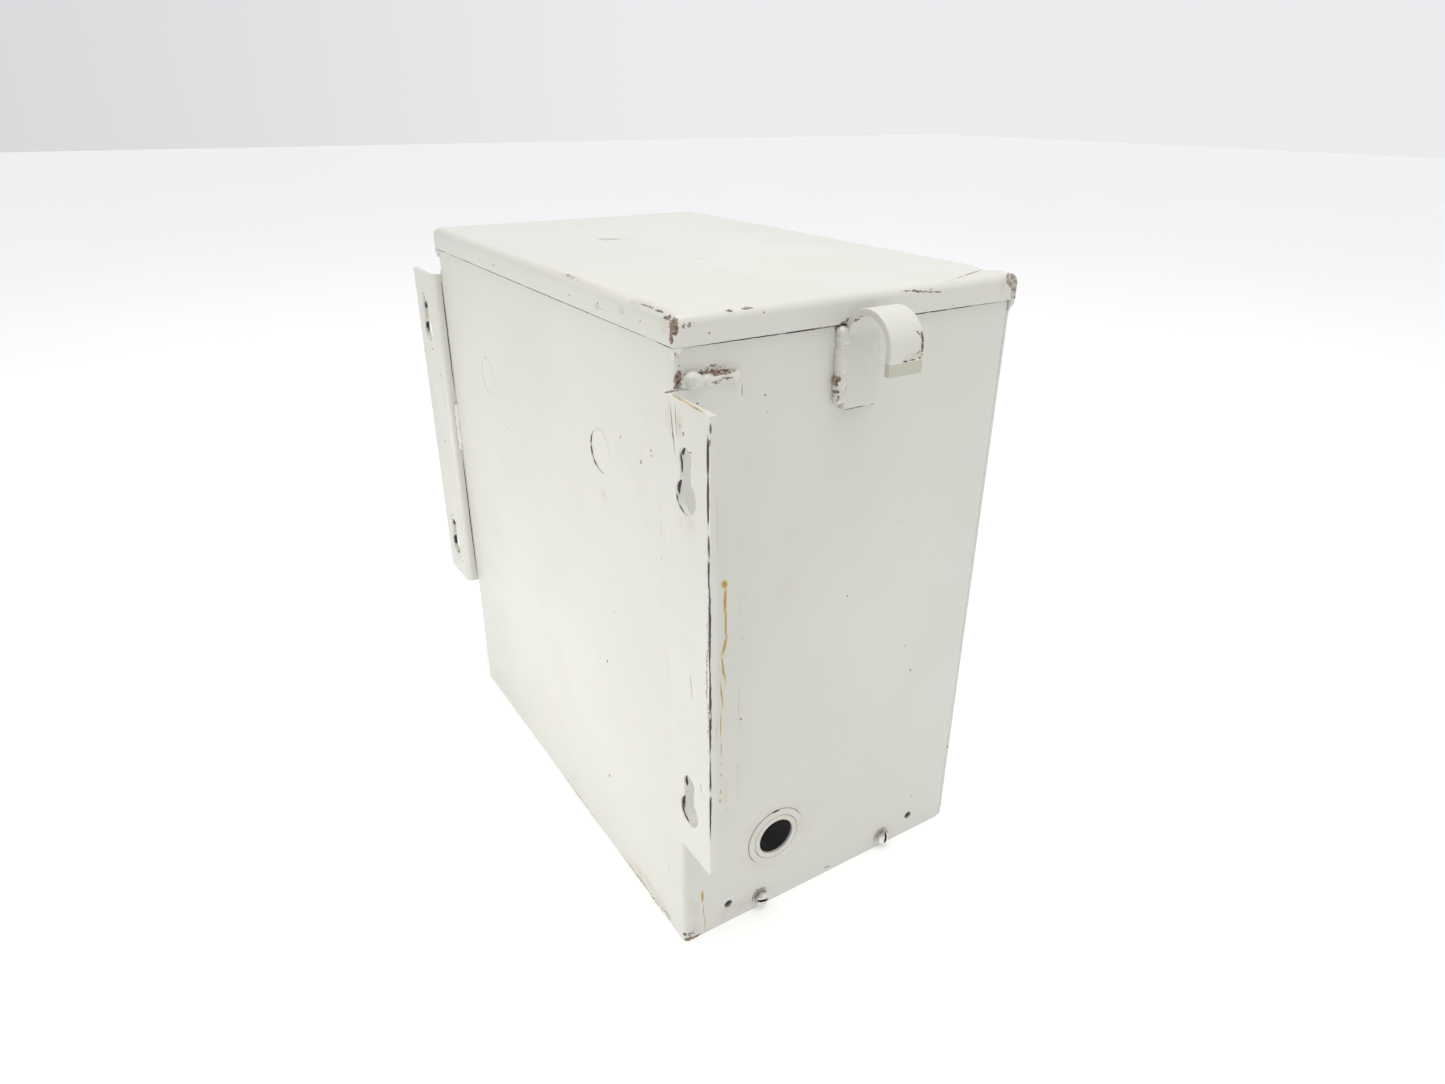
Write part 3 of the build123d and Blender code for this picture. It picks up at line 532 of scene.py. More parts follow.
LEFT_PANEL = enamel(
    "enamel_left_panel",
    chips=[
        on_side(51.1, 303.9, 0.4, 0.4), on_side(49.8, 296, 0.3, 0.35), on_side(-49, 144, 0.4, 0.4),
        on_side(-52.4, 42, 0.5, 0.4), on_side(93, 1.2, 2.6, 1.6), on_side(88.5, 0.7, 3, 0.9),
        on_side(94.6, 5, 0.8, 1.6), on_side(60.8, 136.8, 0.35, 0.8), on_side(14.1, 328.7, 0.6, 0.8),
        on_side(80, 318, 12.5, 0.7, 2), on_side(94.2, 317.2, 1.6, 3.6, 15),
        on_side(94.6, 313.4, 1.2, 2.4), on_side(13.4, 328.6, 1.2, 1.9),
    ],
    grit=[
        on_side(92, 4, 4.5, 5), on_side(94.5, 319, 2.6, 8), on_side(80, 319.4, 15, 2.2),
        on_side(94.2, 314, 2.2, 4), on_side(94.8, 323, 1.3, 8), on_side(-3.5, 3.4, 4, 1.4),
    ],
    # The lines under the lip are painted shade; the one down the front edge is a painted shadow by the
    # gap to the cover, and the one at Y 64 a painted shadow along the front edge of the angle's side
    # leg.
    lines=[
        on_side(0, UNDER_LIP, 97, 0.34), on_side(36, UNDER_LIP, 26, 0.42),
        spot(-148, BACK_Y, UNDER_LIP, 12, 2, 0.5), on_side(-3.4, 3.6, 2.6, 0.28, 13),
        on_side(95, 326, 0.35, 3), spot(SIDE_X, -95.1, 306, 0.9, 0.22, 24),
        spot(SIDE_X, 64, 200, 0.6, 0.16, 108),
    ],
    stains=[
        on_side(90, 15, 5, 16), on_side(80, 319, 22, 4), on_side(35, 47, 25, 24),
        on_side(10, 328, 12, 4), on_side(60, 8, 16, 6),
    ],
    runs=[on_side(84.1, 28.5, 0.9, 5), on_side(83.3, 18, 0.35, 5), on_side(82.5, 8, 0.3, 7)],
    wear=0.12)

RIGHT_PANEL = enamel(
    "enamel_right_panel",
    chips=scatter(11, 7, (155.6, -90, 2), (155.6, 92, 325), (0.4, 1.1)),
    grit=[spot(155.6, 92, 4, 2, 5, 5), spot(155.6, 82, 319, 2, 14, 3)],
    # The lines under the lip are painted shade; the two long ones by the back are painted shadow with
    # some grime in the gap behind the angle's heel.
    lines=[
        spot(-SIDE_X, 0, UNDER_LIP, 2, 97, 0.5), spot(148, BACK_Y, UNDER_LIP, 12, 2, 0.5),
        spot(155.3, 95, 272, 0.4, 0.4, 42), spot(155.3, 95, 138, 0.4, 0.4, 52),
    ],
    stains=[spot(155.6, 80, 318, 3, 22, 5), spot(155.6, 86, 12, 3, 8, 16),
            spot(155.6, -60, 20, 3, 18, 12)],
    wear=0.15)

BACK = enamel(
    "enamel_back",
    chips=[
        on_back(-122.6, 271.1, 0.7, 0.9, 10), on_back(-132.5, 280, 0.5, 0.9),
        on_back(-133, 277.4, 0.6, 0.6), on_back(52, 237, 0.5, 0.4), on_back(47, 236, 0.4, 0.4),
        on_back(-145.6, 189.5, 0.5, 0.6), on_back(-69.2, 266.8, 0.28, 3, -20),
        on_back(-69, 259.8, 0.30, 3.4, 17), on_back(-72.6, 254.4, 0.26, 2.4, 50),
    ],
    grit=[
        on_back(-107, 1.6, 44, 2), on_back(-136, 3, 16, 3), on_back(-20, 1.2, 60, 1.3),
        on_back(-148, 318, 2.2, 3), on_back(-150, 4, 5, 5),
    ],
    # The long line under the lip is painted shade.
    lines=[on_back(0, UNDER_LIP, 157, 0.5), on_back(-147.6, 318, 0.25, 2.6, 35)],
    stains=[
        on_back(-150, 300, 5, 14), on_back(-128, 276, 10, 8), on_back(-81, 240, 5, 5),
        on_back(-110, 6, 30, 6),
    ],
    wear=0.1)

CAP_EDGE_GRIT = [
    on_top(-155, 70, 1.6, 5, 8), on_top(-155.5, 60.5, 1.6, 4),
    spot(-151, 95.6, 341.6, 5, 2.6, 1.6, 8, "Y"), spot(-133, 95.6, 342.4, 16, 1.8, 1),
    on_top(-52, 94, 12, 2),
]
CAP_EDGE_CHIPS = [
    spot(-155.6, 95.8, 338.4, 2.1, 2.1, 4.4), spot(-154.9, 96.5, 334, 1.4, 1.3, 3.4),
    spot(-150.5, 95.8, 341.2, 3.4, 1.4, 0.7, 10, "Y"), spot(-143, 95.2, 342.4, 4, 1, 0.6),
    spot(-128, 95, 342.6, 5, 0.7, 0.6),
]
CAP_SCOURED_CORNER = [
    spot(-157, -96, 340.2, 4, 6, 4.5), spot(-156.8, -98, 334.6, 2.6, 4.3, 5.3),
]
CAP_TOP = enamel(
    "enamel_cap_top",
    chips=[
        on_top(50.5, 23, 1.25, 6.2, -31), on_top(46.5, 26.5, 0.5, 1, 20),
        on_top(-50, 93.4, 1.8, 0.5, 8), on_top(-57, 94.4, 1.4, 0.45),
        spot(-155.4, 70, 341.9, 0.8, 1.9, 0.6), spot(-155.4, 61, 341.9, 0.7, 3.4, 0.45),
    ] + CAP_EDGE_CHIPS,
    grit=CAP_EDGE_GRIT + [on_top(-46, 26, 2, 1.6), on_top(51, 24, 3, 7, -31)],
    lines=[on_top(-144.9, -75, 0.30, 25, 23)],
    bare=CAP_SCOURED_CORNER,
    stains=[
        on_top(-130, 93, 30, 3.4), on_top(-60, 93, 60, 3), on_top(45, 21, 14, 6, 30),
        on_top(-148, -72, 3, 22, 23),
    ],
    dents=[on_top(-39, 13, 5, 4), on_top(-77, 23, 6, 3)],
    wear=0.15)
CAP_LIP = enamel(
    "enamel_cap_lip",
    chips=[
        on_lip(-24, 341.2, 3.4, 0.42, 6), on_lip(-31.5, 340.2, 4, 0.36, 8),
        on_lip(-39, 339.3, 4, 0.26, 8), on_lip(-44.5, 338.7, 2.6, 0.30, 6),
        spot(-155.2, -30.4, 342.1, 1, 0.6, 0.5), spot(-154.6, -32, 342.5, 1, 0.5, 0.5),
        on_lip(-79.8, 341.6, 0.45, 0.45), on_lip(53.6, 339.9, 0.5, 0.4),
        on_lip(80.2, 334.3, 0.45, 0.4), on_lip(11.4, 330.7, 1.6, 0.7), on_lip(8.6, 331.6, 1.3, 0.9),
        on_back_lip(-88.5, 336.4, 0.5, 0.9, 20), on_back_lip(-92.6, 334.3, 0.5, 0.4),
        on_back_lip(-129, 336, 0.5, 0.5), on_back_lip(-58, 335, 0.6, 0.4),
    ] + CAP_EDGE_CHIPS,
    grit=CAP_EDGE_GRIT + [
        on_lip(91, 339.4, 5.5, 2.2, -6), on_lip(80, 341.4, 3, 0.8), on_lip(10.5, 331.2, 4.5, 1.2),
        on_lip(-34, 340.2, 12, 1.2, 6),
    ],
    lines=[spot(CAP_X, CAP_FRONT + 1, LIP_Z + 0.4, 2, 3, 0.7)],
    bare=CAP_SCOURED_CORNER,
    stains=[
        on_lip(91, 339.4, 4.5, 2.4), on_lip(-78.2, 335.4, 0.5, 4.4, -32),
        on_back_lip(-150, 339, 6, 5), on_lip(-88, 337, 4, 5),
    ],
    dents=[on_back_lip(-88, 336, 3, 2.4), on_back_lip(-112, 337, 2.6, 2.2)],
    wear=0.15)

# Dirt down the wall leg's outer edge and in its scratches, and painted shade in and round its keyholes.
WALL_LEG_EDGE = [
    spot(-193.6, 102.3, 308.4, 0.8, 0.5, 2.4), spot(-191.9, 102.4, 297, 1.1, 1, 9.5),
    spot(-192, 102.4, 279, 1, 1, 13), spot(-192.4, 102.4, 254, 0.9, 1, 16),
    spot(-192.9, 102.4, 222, 0.75, 1, 24), spot(-193.2, 102.4, 180, 0.6, 1, 26),
    spot(-193.3, 102.4, 132, 0.45, 1, 26),
]
WALL_LEG_SCRATCHES = [
    on_wall_leg(-165, 300, 0.28, 11, 9), on_wall_leg(-167.7, 304.5, 0.20, 7, 4),
    on_wall_leg(-177.6, 184.5, 0.16, 7, 8), on_wall_leg(-185.5, 133, 0.16, 3, 10),
]
# painted shade on the keyholes' inner walls and rims
KEYHOLE_SHADE = [
    spot(-170.2, 100.4, 292.4, 1.4, 0.8, 2.6), spot(-170, 101.4, 287.4, 1.2, 0.5, 5),
    spot(-167.2, 100.8, 277, 1.6, 1, 4.8), spot(-167.5, 102.1, 270.6, 1, 0.4, 2.6, 25, "Y"),
    spot(-170.6, 102.1, 267.5, 1, 0.35, 3, 60, "Y"), spot(-167.6, 101.8, 107.6, 1, 0.5, 3, 25, "Y"),
    spot(-167.2, 100.9, 111.5, 1.6, 1.1, 4.6), spot(-170.6, 101.8, 104.1, 1, 0.4, 3.2, 60, "Y"),
    spot(-170, 101, 126, 1.2, 0.7, 3.5),
]
# One drip down the side leg, from its head to its last beads.
LEG_DRIP = [
    on_leg(73.3, 218.8, 1.8, 2.5), on_leg(72.8, 210, 1.05, 8.5), on_leg(72.4, 198, 0.75, 10),
    on_leg(73, 186, 0.9, 7, 15), on_leg(73.6, 173, 0.6, 10, -8), on_leg(74.4, 158, 0.5, 9.5, -4),
    on_leg(74.9, 141, 0.38, 9), on_leg(74.6, 126, 0.32, 5), on_leg(74.4, 116.3, 0.35, 1),
    on_leg(74.4, 109.5, 0.4, 1.4), on_leg(74.6, 98.5, 0.5, 1.5), on_leg(75.2, 93, 0.5, 1.6),
]
LEFT_ANGLE = enamel(
    "enamel_left_angle",
    chips=[
        on_wall_leg(-173.4, 300.6, 0.6, 0.9), on_wall_leg(-178.8, 294.6, 1, 0.3, 30),
        on_wall_leg(-171, 303.3, 0.5, 0.4), on_leg(87.1, 306.7, 0.5, 0.5),
        on_wall_leg(-193, 302.4, 0.3, 2, -16), spot(-157.6, 98.8, LEG_TOP, 1.2, 4.6, 0.9),
        spot(-166, 100.3, LEG_TOP, 6, 0.3, 0.4), spot(-183, 101.9, LEG_TOP, 7, 0.3, 0.4),
    ],
    lines=WALL_LEG_EDGE + WALL_LEG_SCRATCHES + KEYHOLE_SHADE + [on_leg(65.2, 309, 0.15, 2.6)],
    grit=[
        spot(-157, 99, LEG_TOP, 3, 5, 1.4), on_wall_leg(-172, 106, 4, 4),
        on_wall_leg(-191.6, 200, 1.2, 70), on_wall_leg(-165, 297, 1.6, 2.4),
    ],
    runs=LEG_DRIP + [spot(-175, 101.1, LEG_TOP, 15, 0.5, 0.5)],
    stains=[
        on_wall_leg(-162.5, 304, 2.8, 9), on_wall_leg(-170, 303, 3.2, 7),
        on_wall_leg(-159.6, 303, 1.2, 7), on_wall_leg(-175, 262, 8, 6),
        on_wall_leg(-170, 112, 8, 10), on_leg(72, 98, 3, 8),
    ],
    wear=0.2)

RIGHT_ANGLE = enamel(
    "enamel_right_angle",
    chips=scatter(23, 9, (160, 102.5, 92), (192, 102.5, 308), (0.5, 1.2)),
    grit=[on_wall_leg(174.6, 296, 7, 7), on_wall_leg(174.6, 108, 7, 9)],
    # Lines: painted shade in and round the keyholes, and painted shadow with some grime in the gap
    # behind the heel.
    lines=[
        spot(180.2, 100.6, 289, 1.4, 1.2, 6), spot(182.6, 100.6, 275, 1.4, 1.2, 6),
        spot(182.6, 100.6, 111, 1.4, 1.2, 6), spot(180.2, 100.6, 126, 1.4, 1.2, 4),
        spot(155.6, 95.4, 272, 0.6, 0.35, 42), spot(155.6, 95.4, 138, 0.6, 0.35, 52),
    ],
    stains=[on_wall_leg(175, 290, 10, 16), on_wall_leg(172, 110, 10, 16)],
    wear=0.3)

LEFT_HOOK = enamel(
    "enamel_left_hook",
    chips=[
        spot(-186.3, -8.6, 325.4, 1.5, 1, 6.4), on_tip(-6.6, 330, 0.6, 1.6, -35),
        on_tip(0.8, 318.7, 1.8, 0.4), on_tip(-3.4, 318.8, 1.6, 0.4), on_tip(-7.6, 319.4, 0.9, 0.5),
        on_tip(10.8, 318.4, 0.6, 0.5), spot(-164.2, 8.4, 332.2, 2.2, 1.6, 1.8),
        spot(-168, 8.8, 334.8, 2.6, 1, 0.9),
    ],
    grit=[
        on_tip(-3.6, 334, 1.3, 1.2), on_tip(-6.5, 321, 2.4, 2), on_leg(8.5, 330.4, 2, 1.5),
        spot(-186.6, -8.8, 321, 1, 1, 8),
    ],
    lines=[on_leg(3, 290.9, 8, 0.5), on_leg(-8, 290.9, 2, 0.4)],
    stains=[on_tip(-3, 319.6, 6, 2), on_tip(-8, 322, 1.6, 5),
            spot(-171, 0, 335, 10, 10, 2)],
    wear=0.2, olive=olive_tip)

RIGHT_HOOK = enamel(
    "enamel_right_hook",
    chips=scatter(37, 6, (160, -9.5, 312), (187, 9.5, 338), (0.6, 1.3)),
    stains=[spot(187, 0, 320, 3, 8, 4)],
    wear=0.35, olive=olive_tip)

COVER = enamel(
    "enamel_cover",
    chips=scatter(41, 9, (-150, -97, 5), (150, -97, 325), (0.4, 1.1)),
    grit=[spot(-148, -97, 5, 8, 2, 5), spot(146, -97, 330, 9, 2, 5),
          spot(0, -97, 24, 22, 3, 10)],
    lines=[spot(34, -97, 88, 9, 2, 0.3, 20, "Y")],
    stains=[spot(0, -97, 70, 60, 3, 30), spot(-120, -97, 20, 40, 3, 18), spot(90, -97, 300, 50, 3, 16)],
    wear=0.15)

PLAIN = enamel("enamel_plain", wear=0.3)
KNOCKOUTS = enamel(
    "enamel_knockouts",
    lines=[spot(-155.9, 37, 65.6, 1.5, 2.8, 0.35)],
    stains=[spot(-155.9, 36, 47.5, 3, 20, 20)],
    wear=0.05)
WELDS = enamel(
    "enamel_welds",
    chips=[
        spot(-158, 14.3, 305.6, 2.6, 1.9, 2.5, 20), spot(-158, 8.6, 301.6, 2.6, 1.5, 1, -25),
        spot(-158.4, 6.9, 303.6, 2.2, 0.9, 1), spot(-158, 14, 300.4, 2.6, 1.1, 0.9),
        spot(-158, 13.4, 297.4, 2.6, 0.55, 2, 15), spot(-158, 8, 310.7, 2, 0.5, 0.7),
        spot(-157, 67, 313.2, 1, 0.6, 1), spot(-157.4, 75, 317.2, 2, 7.5, 0.55),
        spot(-158.8, 72.5, 315.6, 1.5, 3.6, 0.3, 4), spot(-159, 79, 314.9, 1.5, 2.4, 0.3, -6),
    ],
    grit=[
        spot(-157, 78, 318.2, 2.4, 12, 1.7, 2), spot(-157.6, 77, 314.4, 3, 9, 2),
        spot(-157, 94, 316.4, 3, 2.4, 4), spot(-157, 10.5, 329.4, 3, 4.4, 1.6),
        spot(-158, 11, 302, 3, 4.5, 4), spot(-155, 95.5, 327.8, 2.5, 2, 2),
    ],
    lines=[spot(-158.4, 78.5, 313.9, 1.4, 4, 0.25), spot(-157.6, 73.5, 315, 1.4, 0.3, 1, 40)],
    stains=[
        spot(-158, 77, 316.5, 5, 13, 3), spot(-158, 12, 302, 4, 5, 6), spot(-157, 94, 317, 3, 3, 4),
    ],
    wear=0.2)

ENAMEL_BY_NODE = {
    "left_side_panel": LEFT_PANEL, "right_side_panel": RIGHT_PANEL, "back_panel": BACK,
    "left_mounting_angle": LEFT_ANGLE, "right_mounting_angle": RIGHT_ANGLE,
    "left_lifting_hook": LEFT_HOOK, "right_lifting_hook": RIGHT_HOOK, "front_cover": COVER,
    "left_knockout_rings": KNOCKOUTS, "right_knockout_rings": KNOCKOUTS,
    "back_knockout_discs": BACK, "angle_weld_beads": WELDS, "hook_weld_beads": WELDS,
}
for part in frame["record"]["subparts"]:
    slot_name = part["material_slot"]
    if slot_name == "grey_enamel":
        paint(part["node"], ENAMEL_BY_NODE.get(part["node"], PLAIN))
    else:
        paint(part["node"], METALS[slot_name])


# ---- pieces built here ----------------------------------------------------------------------
def place_piece(name, mesh, material, body, slot, *nodes):
    """Puts a mesh in the scene as a piece that rides on a body, in place of any nodes given."""
    piece = bpy.data.objects.new(name, mesh)
    bpy.context.scene.collection.objects.link(piece)
    mesh.materials.clear()
    mesh.materials.append(material)
    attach(piece, body)
    if nodes:
        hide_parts(*nodes)


def mesh_from(bm, name):
    """A mesh from a bmesh, which is freed."""
    mesh = bpy.data.meshes.new(name)
    bm.to_mesh(mesh)
    bm.free()
    return mesh


def finished(mesh, add_modifiers):
    """The mesh with modifiers applied."""
    carrier = bpy.data.objects.new("carrier", mesh)
    bpy.context.scene.collection.objects.link(carrier)
    add_modifiers(carrier)
    graph = bpy.context.evaluated_depsgraph_get()
    result = bpy.data.meshes.new_from_object(carrier.evaluated_get(graph))
    bpy.data.objects.remove(carrier)
    return result


def smooth_up_to(mesh, degrees):
    """Smooth shading, with edges sharper than that left hard."""
    mesh.shade_smooth()
    mesh.set_sharp_from_angle(angle=math.radians(degrees))


def cut(bm, point, direction, clear_inner=False):
    """Cuts a bmesh along a plane, and may clear what lies behind it."""
    geometry = bm.verts[:] + bm.edges[:] + bm.faces[:]
    bmesh.ops.bisect_plane(bm, geom=geometry, plane_co=point, plane_no=direction,
                           clear_inner=clear_inner)


def clamped(value):
    return min(1.0, max(0.0, value))


CREASE_START = Vector((-135.5, CAP_LOW.y / MM, 0)) * MM
CREASE_END = Vector((-154.0, -53.0, 0)) * MM
CREASE_DEPTH = 1.3 * MM
CREASE_REACH = 9.0 * MM
CREASE_OFFSETS = (-9.0, -6.0, -3.5, -1.6, -0.6, 0.0, 0.6, 1.6, 3.5, 6.0, 9.0)
CREASE_SHARES = (0.1, 0.25, 0.4, 0.55, 0.7, 0.85, 1.0)
CREASE_FROM = -0.2  # shares of its length at which it starts and ends
CREASE_TO = 1.05
CREASE_FADE = 0.72  # how much of its depth is lost by its end
CREASE_FOOT = 9 * MM  # below the top, where it has died out on the lip
CREASE_BLEND = 7 * MM
CAP_R = 4.5 * MM
CAP_CORNER_R = 2.2 * MM
CAP_SHEET = 1.5 * MM
CAP_TOP_FACING = 0.7  # faces that look up more than this are the top


def cap_block():
    """The cap's outline as an open-bottomed block with rounded edges."""
    bm = bmesh.new()
    bmesh.ops.create_cube(bm, size=1.0)
    size = CAP_HIGH - CAP_LOW
    centre = (CAP_HIGH + CAP_LOW) / 2
    for vertex in bm.verts:
        vertex.co = centre + Vector(a * b for a, b in zip(vertex.co, size))
    floor = min(bm.faces, key=lambda face: face.calc_center_median().z)
    bmesh.ops.delete(bm, geom=[floor], context="FACES_ONLY")
    weight = bm.edges.layers.float.new("bevel_weight_edge")
    for edge in bm.edges:
        upright = abs(edge.verts[0].co.z - edge.verts[1].co.z) > size.z / 2
        if len(edge.link_faces) == 2:
            edge[weight] = CAP_CORNER_R / CAP_R if upright else 1.0

    def round_edges(carrier):
        bevel = carrier.modifiers.new("round", "BEVEL")
        bevel.limit_method = "WEIGHT"
        bevel.width = CAP_R
        bevel.segments = 7

    return finished(mesh_from(bm, "cap_block"), round_edges)


def crease(bm):
    """Kinks the front left corner, most at the front. The lip's lower edge stays straight."""
    along = (CREASE_END - CREASE_START).normalized()
    across = Vector((along.y, -along.x, 0))
    length = (CREASE_END - CREASE_START).length
    for offset in CREASE_OFFSETS:
        cut(bm, CREASE_START + across * offset * MM, across)
    for share in CREASE_SHARES:
        cut(bm, CREASE_START + along * length * share, along)
    for vertex in bm.verts:
        offset = vertex.co - CREASE_START
        side = abs(offset.dot(across)) / CREASE_REACH
        share = offset.dot(along) / length
        if side < 1 and CREASE_FROM < share < CREASE_TO:
            fade = max(0.0, 1.0 - CREASE_FADE * max(0.0, share))
            height = clamped((vertex.co.z - CAP_HIGH.z + CREASE_FOOT) / CREASE_BLEND)
            vertex.co.z -= CREASE_DEPTH * (1 - side) ** 1.6 * fade * height


def dented_cap():
    """The top pan, in sheet, with its lip and its top in their own enamels."""
    bm = bmesh.new()
    bm.from_mesh(cap_block())
    crease(bm)

    def thicken(carrier):
        solid = carrier.modifiers.new("sheet", "SOLIDIFY")
        solid.thickness = CAP_SHEET
        solid.offset = -1.0
        solid.use_even_offset = True

    mesh = finished(mesh_from(bm, "cap_shell"), thicken)
    smooth_up_to(mesh, 30)
    place_piece("top_cap_pan", mesh, CAP_LIP, "box", "grey_enamel", "top_cap")
    mesh.materials.append(CAP_TOP)
    for face in mesh.polygons:
        face.material_index = int(face.normal.z > CAP_TOP_FACING)


WELD_VOXEL = 0.42
SMALL_WELD_VOXEL = 0.3
WELD_LUMPS = (260, 0.50)  # how close they stand, and their height in millimetres
WELD_GRAIN = (900, 0.24)


def merged(blobs, name, voxel):
    """A mesh of the blobs, grown together."""
    bm = bmesh.new()
    for centre, radii in blobs:
        ball = bmesh.ops.create_icosphere(bm, subdivisions=3, radius=1.0)["verts"]
        bmesh.ops.scale(bm, vec=Vector(radii) * MM, verts=ball)
        bmesh.ops.translate(bm, vec=Vector(centre) * MM, verts=ball)

    def merge(carrier):
        remesh = carrier.modifiers.new("merge", "REMESH")
        remesh.mode = "VOXEL"
        remesh.voxel_size = voxel * MM
        smooth = carrier.modifiers.new("soften", "SMOOTH")
        smooth.iterations = 3

    return finished(mesh_from(bm, name), merge)


def roughen(bm, seed):
    """Lumps and grain, out and in along the normals."""
    bm.normal_update()
    shift = Vector((seed * 7.3, seed * 3.1, seed * 5.7))
    for vertex in bm.verts:
        coarse = noise.noise(vertex.co * WELD_LUMPS[0] + shift) * WELD_LUMPS[1]
        fine = noise.noise(vertex.co * WELD_GRAIN[0] + shift) * WELD_GRAIN[1]
        vertex.co += vertex.normal * (coarse + fine) * MM


def weld(name, blobs, keep, seed, node, voxel=WELD_VOXEL):
    """One painted weld: overlapping blobs, merged, roughened, and cut off at flat faces.

    Blobs are (centre, radii) in millimetres. keep lists (point, direction) in millimetres;
    what lies behind each is cut away.
    """
    mesh = merged(blobs, name, voxel)
    bm = bmesh.new()
    bm.from_mesh(mesh)
    roughen(bm, seed)
    for point, direction in keep:
        cut(bm, Vector(point) * MM, Vector(direction), clear_inner=True)
        rim = [edge for edge in bm.edges if edge.is_boundary]
        bmesh.ops.holes_fill(bm, edges=rim)
    bmesh.ops.recalc_face_normals(bm, faces=bm.faces)
    bm.to_mesh(mesh)
    bm.free()
    smooth_up_to(mesh, 50)
    place_piece(name, mesh, WELDS, "box", "grey_enamel", node)


def bead(start, end, radius, spacing, seed, wobble=0.18):
    """Blobs in a row, each a little off the line and off the size."""
    draw = random.Random(seed)
    start, end = Vector(start), Vector(end)
    count = max(2, round((end - start).length / spacing))
    blobs = []
    for index in range(count + 1):
        centre = start.lerp(end, index / count)
        centre += Vector(draw.uniform(-wobble, wobble) for _ in range(3))
        size = radius * draw.uniform(0.88, 1.10)
        blobs.append((centre, (size, size, size)))
    return blobs


def flipped(blobs):
    """The blobs of a left weld, for the right side."""
    return [((-centre[0], centre[1], centre[2]), radii) for centre, radii in blobs]


LEFT_WALL = ((SIDE_X + 0.3, 0, 0), (-1, 0, 0))
RIGHT_WALL = ((-SIDE_X - 0.3, 0, 0), (1, 0, 0))


def angle_welds():
    """The bead along the top of each side leg, and the stitch behind each heel."""
    leg_top = ((0, 0, LEG_TOP - 0.3), (0, 0, 1))
    top = bead((-157.0, 68.0, 314.4), (-157.0, 85.0, 314.8), radius=2.7, spacing=1.7, seed=3)
    top += [
        ((-158.2, 88.9, 316.3), (3.3, 4.2, 3.9)), ((-157.0, 92.4, 314.6), (2.0, 2.4, 2.2)),
        ((-157.4, 67.0, 315.2), (1.7, 1.6, 2.6)), ((-157.6, 82.5, 315.6), (2.3, 3.2, 2.4)),
    ]
    weld("left_angle_top_weld", top, [LEFT_WALL, leg_top], 1, "angle_weld_beads")
    weld("right_angle_top_weld", flipped(top), [RIGHT_WALL, leg_top], 2, "angle_weld_beads")

    back_face = ((0, BACK_Y - 0.3, 0), (0, 1, 0))
    left_corner = ((SIDE_X + 0.1, 0, 0), (1, 0, 0))
    right_corner = ((-SIDE_X - 0.1, 0, 0), (-1, 0, 0))
    foot = (SIDE_X + 1.6, BACK_Y + 0.2, 194)
    head = (SIDE_X + 1.6, BACK_Y + 0.2, 224)
    stitch = bead(foot, head, radius=2.1, spacing=2.2, seed=5)
    weld("left_angle_stitch_weld", stitch, [back_face, left_corner], 3, "angle_weld_beads")
    weld("right_angle_stitch_weld", flipped(stitch), [back_face, right_corner], 4, "angle_weld_beads")


def hook_welds():
    """The beads down both edges of each hook's strap: lumpy at the rear, slim at the front."""
    rear = bead((-157.3, 11.3, 297.0), (-157.0, 11.3, 326.5), 3.0, 1.5, seed=8, wobble=0.12)
    rear += [((-157.4, 11.9, 304.0), (2.7, 3.6, 5.0)), ((-157.0, 11.3, 327.0), (2.6, 3.0, 2.4))]
    front = bead((-156.2, -10.4, 296.0), (-156.2, -10.4, 327.0), 1.8, 1.2, seed=6, wobble=0.12)
    strap_foot = ((0, 0, 293.2), (0, 0, 1))
    lip = ((0, 0, LIP_Z - 0.1), (0, 0, -1))
    for end, blobs, seed in (("rear", rear, 6), ("front", front, 4)):
        left = [LEFT_WALL, strap_foot, lip]
        right = [RIGHT_WALL, strap_foot, lip]
        weld(f"left_hook_{end}_weld", blobs, left, seed, "hook_weld_beads")
        weld(f"right_hook_{end}_weld", flipped(blobs), right, seed + 4, "hook_weld_beads")


def corner_welds():
    """The nubs just under the lip at the box's corners."""
    under_lip = ((0, 0, LIP_Z + 0.6), (0, 0, -1))
    rear = [
        ((-155.2, 94.8, 328.6), (2.2, 2.2, 2.3)), ((-154.6, 95.2, 326.6), (1.4, 1.3, 2.0)),
        ((-155.6, 93.2, 329.3), (1.5, 1.6, 1.3)),
    ]
    front = [
        ((-155.9, -96.6, 328.9), (1.9, 1.7, 2.6)), ((-155.5, -96.2, 326.4), (1.1, 1.2, 2.4)),
        ((-155.2, -97.2, 329.8), (1.8, 1.3, 1.5)),
    ]
    for hand, flip, seed in (("left", list, 14), ("right", flipped, 18)):
        for end, blobs, own_seed in (("rear", rear, seed), ("front", front, seed + 1)):
            name = f"{hand}_{end}_corner_weld"
            weld(name, flip(blobs), [under_lip], own_seed, "cap_corner_welds", SMALL_WELD_VOXEL)


DISC_X = 79.6
DISC_Z = 263.0
DISC_R = 11.1
DISC_SHEET = 0.8 * MM
DISC_STEPS = 72
DISC_RINGS = (3.0, 6.0, 8.5, 9.8, 10.5, 10.8, 11.0, 11.4, 12.0)
DISC_TURN = math.radians(20)  # the sunk side looks this far below the box's right
RIM_START = 10.5  # the paint that bridges the gap begins here
RIM_WIDTH = 1.5
TORN_FROM = 10.6  # and is torn from here, on the sunk side
LUMP = (3.0, 10.2)  # a lump of paint near the disc's top, from its centre
LUMP_HIGH = 0.55
LUMP_SPREAD = 9.0


